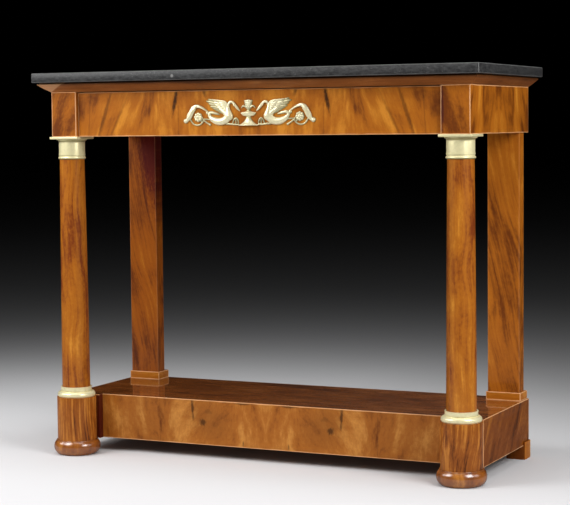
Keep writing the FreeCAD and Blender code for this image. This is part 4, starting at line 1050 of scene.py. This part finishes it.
# Places are millimetres across from the ornament's axis, up from its foot and out from the drawer's face, for
# the right-hand swan; the left one is its mirror image.
# Stems: how far they stand out, then stations of (across, up, radius)
SWAN_STEMS = [
    # Body, tail, and breast with neck and bill
    (0.8, [(51.6, 18, 9), (58.2, 12, 9), (67.2, 9.3, 8.5), (76.8, 9.6, 8.1), (86.4, 12.6, 7.1),
           (94.2, 17.4, 5.4), (97.8, 22.8, 3.4)]),
    (1.0, [(97.5, 20.6, 4.0), (98.6, 26.8, 3.6), (95.1, 30.2, 3.4), (88.4, 29.4, 3.3), (80.2, 27.4, 2.9),
           (74.0, 25.6, 1.8), (70.4, 24.6, 0.6)]),
    (2.0, [(47.4, 21, 9.0), (49, 29, 7.6), (50.6, 37, 4.6), (50.4, 45, 3.0), (46.6, 53.0, 2.8),
           (38.6, 53.0, 2.8), (31.6, 44.4, 3.1), (26.4, 38.2, 2.9), (23.4, 35.2, 2.0), (20.4, 32.2, 1.2)]),
    # Scroll, its ring and its tendrils
    (1.0, [(99, 29.4, 2.0), (107, 35.8, 2.2), (117.8, 41.8, 2.9), (131.0, 45.6, 4.2), (140.4, 38.4, 5.6),
           (145.4, 27, 6.0), (149.4, 18, 5.5), (156, 10.8, 3.4)]),
    (0.8, [(146.2, 14.6, 1.9), (141.6, 6.2, 2.0), (133.4, 1.9, 2.0), (125, 1.7, 2.0), (117.2, 5.4, 2.0),
           (113, 12, 1.9), (114.8, 18, 1.6), (120, 19.8, 1.5)]),
    (0.8, [(115.8, 13.8, 1.6), (111.6, 12.6, 1.9), (106.2, 7.8, 1.9), (97.2, 3, 2.2)]),
    (0.8, [(114, 14.7, 1.5), (106.2, 15.6, 1.9), (94.8, 13.6, 1.6)]),
    # Ground bar with its small arch
    (0.8, [(23.8, 2.4, 2.0), (36, 2.4, 2.1), (45.6, 4.0, 2.2), (56.4, 4.2, 2.2)]),
    (0.8, [(25.0, 4.4, 1.6), (25.4, 12.4, 1.9), (31.4, 18, 2.0), (37.8, 12.4, 1.9), (39.6, 4.2, 1.6)]),
    (0.8, [(31.4, 2.4, 1.2), (31.4, 9, 1.9), (31.4, 15, 1.5)]),
    # Shoulder between breast and wing
    (1.6, [(51, 20, 8.0), (56, 27.5, 6.0), (63, 33.0, 4.4), (72, 38.0, 2.6)]),
    # Leaves laid along the scroll
    (2.8, [(104, 32.8, 0.9), (114, 39.2, 1.6), (126, 43.8, 1.9), (136, 41.6, 0.8)]),
    (4.4, [(132, 40.8, 0.8), (140.0, 36.0, 2.1), (144.4, 27, 2.3), (148.0, 18.0, 0.9)]),
    (2.2, [(129, 44.8, 0.7), (137.4, 45.2, 1.9), (143.6, 40.2, 1.8), (148.0, 33.0, 0.7)]),
    (2.2, [(146, 35.8, 0.7), (150.6, 29.4, 1.7), (153.6, 22.4, 1.5), (156.0, 15.4, 0.7)]),
    (2.2, [(132, 37.6, 0.7), (137.4, 32.6, 1.6), (140.2, 26.0, 1.5), (143.4, 18.4, 0.7)]),
    # Stalk that ties the rosette to its ring
    (0.6, [(117, 8, 1.6), (120, 12, 2.0), (123.4, 16, 2.0)]),
    # Leading edge of the wing
    (3.0, [(52, 28, 2.2), (51.5, 40, 2.2), (53, 50, 2.1), (58.5, 54.8, 1.9), (72, 56.2, 1.7),
           (90, 58.2, 1.0)]),
]

# Feathers, row by row: how far the row stands out, and each quill's root and tip as (across, up), and radius
SWAN_FEATHERS = [
    (0.6, [((56, 41), (102, 60), 3.2), ((57, 39), (107, 55.7), 3.4), ((57, 37), (101, 49.4), 3.3),
           ((57, 33.5), (97, 43.4), 3.3), ((57, 30.5), (91, 39.4), 3.2), ((57, 27.5), (84, 35.4), 3.0),
           ((57, 24.5), (76, 31.2), 2.8)]),
    (2.0, [((55, 44), (85, 57), 3.0), ((56, 42), (88, 51.6), 3.0), ((56, 39), (83, 46.2), 2.9),
           ((56, 35), (78, 41.0), 2.8), ((56, 31.5), (72, 36.2), 2.7), ((56, 28), (66, 31.0), 2.4)]),
    (3.2, [((54, 46), (70, 55.4), 2.6), ((54, 44), (72, 50.4), 2.6), ((54, 41), (68.5, 45.4), 2.6),
           ((54, 37.5), (64.5, 40.4), 2.5), ((54, 34), (60.5, 35.4), 2.3)]),
]

# Where along a quill its stations lie, how wide it is there, and how far its back arches
QUILL = ((0.0, 0.7), (0.3, 0.95), (0.6, 1.0), (0.85, 0.85), (0.97, 0.45), (1.0, 0.1))
QUILL_ARCH = 2.2

# Round forms: (across, up, out, radius)
SWAN_BALLS = [(48.6, 21, 0.5, 10.4), (158.4, 11.4, 0, 5.7), (102.6, 29.4, 0, 4.5), (96.6, 2.7, 0.4, 3.0),
              (34, 46.6, 2.4, 3.6), (126.3, 19.5, 2.2, 4.6)]
# Rosette: its middle (across, up, out), the radius of its ring and the radius of a petal
ROSETTE = (126.3, 19.5, 1.0)
ROSETTE_RADIUS = 7.2
PETAL_RADIUS = 3.9

URN_OUTLINE = [(0, 0), (24, 0), (24, 2.1, (24.9, 1.05)), (19, 3.6, (20.6, 2.6)), (5.4, 19.2, (11.4, 9.6)),
               (7.8, 21.3, (7.1, 19.9)), (18.3, 26.4, (14.7, 22.5)), (18.3, 29.1, (19.2, 27.8)), (7.2, 31.5),
               (4.5, 34.2, (5.1, 32.7)), (5.1, 36.6, (4.2, 35.4)), (7.6, 40.4, (6.8, 38.2)),
               (9.0, 55, (8.0, 48)), (0, 57, (5, 56.8))]
URN_LEAVES = [(1.4, [(3.6, 39.6, 1.8), (10.2, 44.1, 1.9), (15, 42.9, 1.7), (17.1, 38.4, 0.8)])]
# Fruit on the urn: rings of (radius, up, count, size)
URN_FRUIT = [(6.2, 42.0, 10, 2.2), (7.0, 46.0, 11, 2.3), (7.8, 50.0, 12, 2.4), (8.6, 54.4, 13, 2.5),
             (4.2, 55.8, 7, 2.4)]

# How deep each form is against its width
STEM_DEPTH, FEATHER_DEPTH, LEAF_DEPTH, BALL_DEPTH, PETAL_DEPTH, URN_DEPTH = 0.72, 0.5, 0.7, 0.75, 0.55, 0.42


def geometry_group(name, inputs, build):
    """A geometry group that is built once and ends in plain geometry with its material."""
    tree = bpy.data.node_groups.get(name)
    if tree is None:
        sockets = {"Geometry": "Geometry", **inputs, "Material": "Material"}
        tree = new_tree(name, "GeometryNodeTree", sockets, {"Geometry": "Geometry"})
        graph = Graph(tree)
        given = graph.add("NodeGroupInput").outputs
        real = graph.add("GeometryNodeRealizeInstances", {"Geometry": build(graph, given)})
        finished = graph.add("GeometryNodeSetMaterial", {
            "Geometry": real.outputs["Geometry"], "Material": given["Material"]})
        graph.add("NodeGroupOutput", {"Geometry": finished.outputs["Geometry"]})
    return tree


def stem_tree():
    """Sweeps a round section along each path, as thick as the path's own radius, and flattens it."""
    def build(graph, given):
        capture = graph.add("GeometryNodeCaptureAttribute", {"Geometry": given["Geometry"]}, domain="POINT")
        capture.capture_items.new("VECTOR", "Middle")
        graph.feed(capture.inputs["Middle"], graph.add("GeometryNodeInputPosition").outputs[0])
        section = graph.add("GeometryNodeCurvePrimitiveCircle", {"Resolution": given["Sides"], "Radius": 1.0})
        swept = graph.add("GeometryNodeCurveToMesh", {
            "Curve": capture.outputs["Geometry"], "Profile Curve": section.outputs["Curve"],
            "Scale": graph.add("GeometryNodeInputRadius").outputs[0], "Fill Caps": True})
        middle = capture.outputs["Middle"]
        away = graph.vector("SUBTRACT", graph.add("GeometryNodeInputPosition").outputs[0], middle)
        squeezed = graph.vector("MULTIPLY", away, graph.combine(1.0, given["Flatness"], 1.0))
        moved = graph.add("GeometryNodeSetPosition", {
            "Geometry": swept.outputs["Mesh"], "Position": graph.vector("ADD", middle, squeezed)})
        return moved.outputs["Geometry"]

    return geometry_group("Casting stem", {"Sides": "Int", "Flatness": "Float"}, build)


def ring_tree():
    """Sets balls in a ring, as for petals or fruit."""
    def build(graph, given):
        ring = graph.add("GeometryNodeMeshCircle", {
            "Vertices": given["Count"], "Radius": given["Ring radius"]})
        ball = graph.add("GeometryNodeMeshIcoSphere", {"Radius": given["Ball radius"], "Subdivisions": 3})
        placed = graph.add("GeometryNodeInstanceOnPoints", {
            "Points": ring.outputs["Mesh"], "Instance": ball.outputs["Mesh"]})
        return placed.outputs["Instances"]

    return geometry_group("Ring of balls", {"Count": "Int", **floats("Ring radius", "Ball radius")}, build)


def grown_mesh(data, tree, values):
    """The plain mesh that a geometry tree makes of a path or an empty mesh."""
    source = put("path", data)
    modifier = source.modifiers.new("grow", "NODES")
    modifier.node_group = tree
    for item in tree.interface.items_tree:
        if item.in_out == "INPUT" and item.name in values:
            modifier[item.identifier] = values[item.name]
    return settled_mesh(source)


def spot(origin, across, up, out):
    """A place on the ornament, given in millimetres."""
    return origin + Vector((across, -out, up)) * MM


def stem_mesh(stems, origin, flatness, material):
    """All stems of a casting as one mesh."""
    paths = bpy.data.curves.new("paths", "CURVE")
    paths.dimensions = "3D"
    paths.resolution_u = 8
    for out, stations in stems:
        line = paths.splines.new("NURBS")
        line.points.add(len(stations) - 1)
        for point, (across, up, radius) in zip(line.points, stations):
            point.co = (*spot(origin, across, up, out), 1.0)
            point.radius = radius * MM
        line.order_u = 3
        line.use_endpoint_u = True
    return grown_mesh(paths, stem_tree(), {"Sides": 20, "Flatness": flatness, "Material": material})


def feather_stems():
    """Each feather as a stem that swells past its middle and ends in a rounded tip."""
    stems = []
    for out, quills in SWAN_FEATHERS:
        for root, tip, radius in quills:
            stations = []
            for share, width in QUILL:
                across = root[0] + (tip[0] - root[0]) * share
                up = root[1] + (tip[1] - root[1]) * share + QUILL_ARCH * math.sin(math.pi * share)
                stations.append((across, up, radius * width))
            stems.append((out, stations))
    return stems


def flattened(depth):
    """Makes a form shallower from front to back."""
    return Matrix.Diagonal((1.0, depth, 1.0, 1.0))


def ball_mesh(origin, across, up, out, radius):
    shape = bmesh.new()
    place = Matrix.Translation(spot(origin, across, up, out)) @ flattened(BALL_DEPTH)
    bmesh.ops.create_icosphere(shape, subdivisions=4, radius=radius * MM, matrix=place)
    return plain_mesh(shape)


def ring_mesh(middle, radius, count, size, material, standing):
    """A ring of balls, standing upright against the drawer or lying round the urn."""
    mesh = grown_mesh(bpy.data.meshes.new("empty"), ring_tree(), {
        "Count": count, "Ring radius": radius * MM, "Ball radius": size * MM, "Material": material})
    turn = Matrix.Rotation(math.pi / 2, 4, "X") if standing else Matrix.Identity(4)
    depth = PETAL_DEPTH if standing else URN_DEPTH
    mesh.transform(Matrix.Translation(middle) @ flattened(depth) @ turn)
    return mesh


def cast(meshes, ground, grain):
    """One casting from overlapping forms: melted together, smoothed and ground flat at the back."""
    source = put("rough", plain_mesh(joined_shape(meshes)))
    melt = source.modifiers.new("melt", "REMESH")
    melt.mode = "VOXEL"
    melt.voxel_size = grain
    ease = source.modifiers.new("ease", "SMOOTH")
    ease.factor = 0.5
    ease.iterations = 2
    thin = source.modifiers.new("thin", "DECIMATE")
    thin.ratio = 0.45
    shape = joined_shape([settled_mesh(source)])
    every = shape.verts[:] + shape.edges[:] + shape.faces[:]
    cut = bmesh.ops.bisect_plane(shape, geom=every, plane_co=(0.0, ground, 0.0), plane_no=(0.0, 1.0, 0.0),
                                 clear_outer=True)
    rim = [item for item in cut["geom_cut"] if isinstance(item, bmesh.types.BMEdge)]
    bmesh.ops.triangle_fill(shape, edges=rim, use_beauty=True, normal=(0.0, 1.0, 0.0))
    bmesh.ops.recalc_face_normals(shape, faces=shape.faces)
    return smooth_mesh(shape, angle=70)


class PIER_OT_ornament(bpy.types.Operator):
    """Casts the two swans and the urn on the drawer front"""
    bl_idname = "pier_table.ornament"
    bl_label = "Cast the ornament"

    def execute(self, context):
        looks = context.scene.pier_bronze
        low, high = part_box("ornament_urn")
        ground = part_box("drawer_front")[0].y
        origin = Vector(((low.x + high.x) / 2, ground, low.z))
        gilt = gilt_material("gilt_casting", ground)
        swan = cast(self.swan_forms(origin, gilt, looks.petals), ground, looks.grain)
        mirror = swan.copy()
        across = Matrix.Translation((2 * origin.x, 0.0, 0.0))
        mirror.transform(across @ Matrix.Diagonal((-1.0, 1.0, 1.0, 1.0)))
        mirror.flip_normals()
        new_piece("swan_right", swan, gilt, "drawer", "gilt_bronze", "ornament_swan_right")
        new_piece("swan_left", mirror, gilt, "drawer", "gilt_bronze", "ornament_swan_left")
        urn = cast(self.urn_forms(origin, gilt), ground, looks.grain)
        new_piece("urn", urn, gilt, "drawer", "gilt_bronze", "ornament_urn")
        dress("ornament_pins", gilt)
        return {"FINISHED"}

    def swan_forms(self, origin, gilt, petals):
        forms = [stem_mesh(SWAN_STEMS, origin, STEM_DEPTH, gilt),
                 stem_mesh(feather_stems(), origin, FEATHER_DEPTH, gilt)]
        forms += [ball_mesh(origin, *ball) for ball in SWAN_BALLS]
        forms.append(ring_mesh(spot(origin, *ROSETTE), ROSETTE_RADIUS, petals, PETAL_RADIUS, gilt, True))
        return forms

    def urn_forms(self, origin, gilt):
        section = [tuple(part * MM if index < 2 else (part[0] * MM, part[1] * MM)
                         for index, part in enumerate(corner)) for corner in URN_OUTLINE]
        bowl = turned_mesh(section, (0.0, 0.0), segments=72)
        bowl.transform(Matrix.Translation(origin) @ flattened(URN_DEPTH))
        leaves = URN_LEAVES + [(out, [(-across, up, radius) for across, up, radius in stations])
                               for out, stations in URN_LEAVES]
        forms = [bowl, stem_mesh(leaves, origin, LEAF_DEPTH, gilt)]
        forms += [ring_mesh(spot(origin, 0.0, up, 0.0), radius, count, size, gilt, False)
                  for radius, up, count, size in URN_FRUIT]
        return forms


# Studio

# Lamps: place, size, and share of the lamp power
LAMPS = {
    "lamp_left": ((-1.20, -1.45, 1.60), 1.0, 0.9),
    "lamp_right": ((1.95, -0.90, 1.50), 1.0, 1.1),
    "lamp_side_left": ((-2.20, -0.90, 1.30), 0.7, 0.25),
    "lamp_side_right": ((2.70, 0.20, 1.30), 0.8, 0.2),
    "lamp_above": ((0.20, -0.50, 3.30), 2.0, 1.2),
    "lamp_back": ((-0.3, 2.6, 2.2), 2.0, 0.25),
}
LAMP_TARGET = Vector((0.0, 0.0, 0.45))

# The camera as fitted to the corners and edges in the photo; angles in degrees
CAMERA_PLACE = (1.75048, -3.68825, 0.77515)
CAMERA_TURN = 25.42
CAMERA_DIP = 4.15
CAMERA_ROLL = -0.57
CAMERA_LENS = 111.18

# Pool of light on the floor: its middle, and each fall-off as strength, reach and steepness
POOL_MIDDLE = (-0.45, -0.62, 0.0)
POOL = ((0.79, 1.9, 5.0), (0.095, 5.0, 2.5))
FLOOR_IN_MIRRORS = 0.5
FLOOR_RADIUS = 60.0


class PIER_OT_studio(bpy.types.Operator):
    """Lays the floor and sets the background, the lamps and the camera"""
    bl_idname = "pier_table.studio"
    bl_label = "Set up the studio"

    def execute(self, context):
        looks = context.scene.pier_studio
        self.floor(looks)
        self.background(looks)
        for name, (place, size, share) in LAMPS.items():
            self.lamp(name, place, size, looks.power * share)
        self.camera()
        context.scene.view_settings.view_transform = "Standard"
        return {"FINISHED"}

    def floor(self, looks):
        shape = bmesh.new()
        bmesh.ops.create_circle(shape, cap_ends=True, segments=128, radius=FLOOR_RADIUS)
        mesh = plain_mesh(shape)
        material, graph, place = new_material("studio_floor")
        reach = graph.length(graph.vector("SUBTRACT", place, POOL_MIDDLE))
        bright = 0.0
        for strength, far, steep in POOL:
            fall = graph.plus(graph.math("POWER", graph.over(reach, far), steep), 1.0)
            bright = graph.plus(graph.over(strength, fall), bright)
        mirrored = graph.add("ShaderNodeLightPath").outputs["Is Glossy Ray"]
        bright = graph.times(bright, graph.ease(mirrored, 0.0, 1.0, 1.0, FLOOR_IN_MIRRORS))
        colour = graph.mix(bright, (0.0, 0.0, 0.0), tuple(looks.floor))
        close_material(graph, {"Base Color": colour, "Roughness": 0.9, "Specular IOR Level": 0.1})
        set_material(mesh, material)
        floor = put("floor", mesh)

    def background(self, looks):
        world = bpy.data.worlds.new("studio")
        world.use_nodes = True
        world.node_tree.nodes.clear()
        graph = Graph(world.node_tree)
        path = graph.add("ShaderNodeLightPath").outputs
        seen = graph.math("MAXIMUM", path["Is Camera Ray"], path["Is Glossy Ray"])
        colour = graph.mix(seen, (looks.fill,) * 3, (0.0, 0.0, 0.0))
        surface = graph.add("ShaderNodeBackground", {"Color": colour, "Strength": 1.0})
        graph.add("ShaderNodeOutputWorld", {"Surface": surface.outputs["Background"]})
        bpy.context.scene.world = world

    def lamp(self, name, place, size, power):
        light = bpy.data.lights.new(name, "AREA")
        light.shape = "SQUARE"
        light.size = size
        light.energy = power
        lamp = put(name, light)
        lamp.location = place
        lamp.rotation_euler = (LAMP_TARGET - Vector(place)).to_track_quat("-Z", "Y").to_euler()

    def camera(self):
        data = bpy.data.cameras.new("camera")
        data.lens = CAMERA_LENS
        data.sensor_fit = "HORIZONTAL"
        data.sensor_width = 36.0
        camera = put("camera", data)
        turn = (Matrix.Rotation(math.radians(CAMERA_TURN), 4, "Z")
                @ Matrix.Rotation(math.radians(90 - CAMERA_DIP), 4, "X")
                @ Matrix.Rotation(math.radians(CAMERA_ROLL), 4, "Z"))
        camera.matrix_world = Matrix.Translation(CAMERA_PLACE) @ turn
        bpy.context.scene.camera = camera


class PIER_PT_panel(bpy.types.Panel):
    """Lists the steps of dressing the table"""
    bl_idname = "PIER_PT_panel"
    bl_label = "Pier table"
    bl_space_type = "VIEW_3D"
    bl_region_type = "UI"
    bl_category = "Pier table"

    def draw(self, context):
        for step in STEPS:
            self.layout.operator(step.bl_idname)
        for name in GROUPS:
            values = getattr(context.scene, name)
            box = self.layout.box()
            for key in values.__annotations__:
                box.prop(values, key)


GROUPS = {"pier_veneer": VeneerProperties, "pier_bronze": BronzeProperties, "pier_stone": StoneProperties,
          "pier_studio": StudioProperties}
STEPS = (PIER_OT_boards, PIER_OT_cornice, PIER_OT_linings, PIER_OT_columns, PIER_OT_drums, PIER_OT_rear_feet,
         PIER_OT_bronzes, PIER_OT_stone, PIER_OT_ornament, PIER_OT_studio)


def register():
    for group in (*GROUPS.values(), *STEPS, PIER_PT_panel):
        bpy.utils.register_class(group)
    for name, group in GROUPS.items():
        setattr(bpy.types.Scene, name, PointerProperty(type=group))


def unregister():
    for name in GROUPS:
        delattr(bpy.types.Scene, name)
    for group in (PIER_PT_panel, *reversed(STEPS), *reversed(list(GROUPS.values()))):
        bpy.utils.unregister_class(group)


def main():
    register()
    for step in STEPS:
        area, name = step.bl_idname.split(".")
        getattr(getattr(bpy.ops, area), name)()


if __name__ == "__main__":
    main()
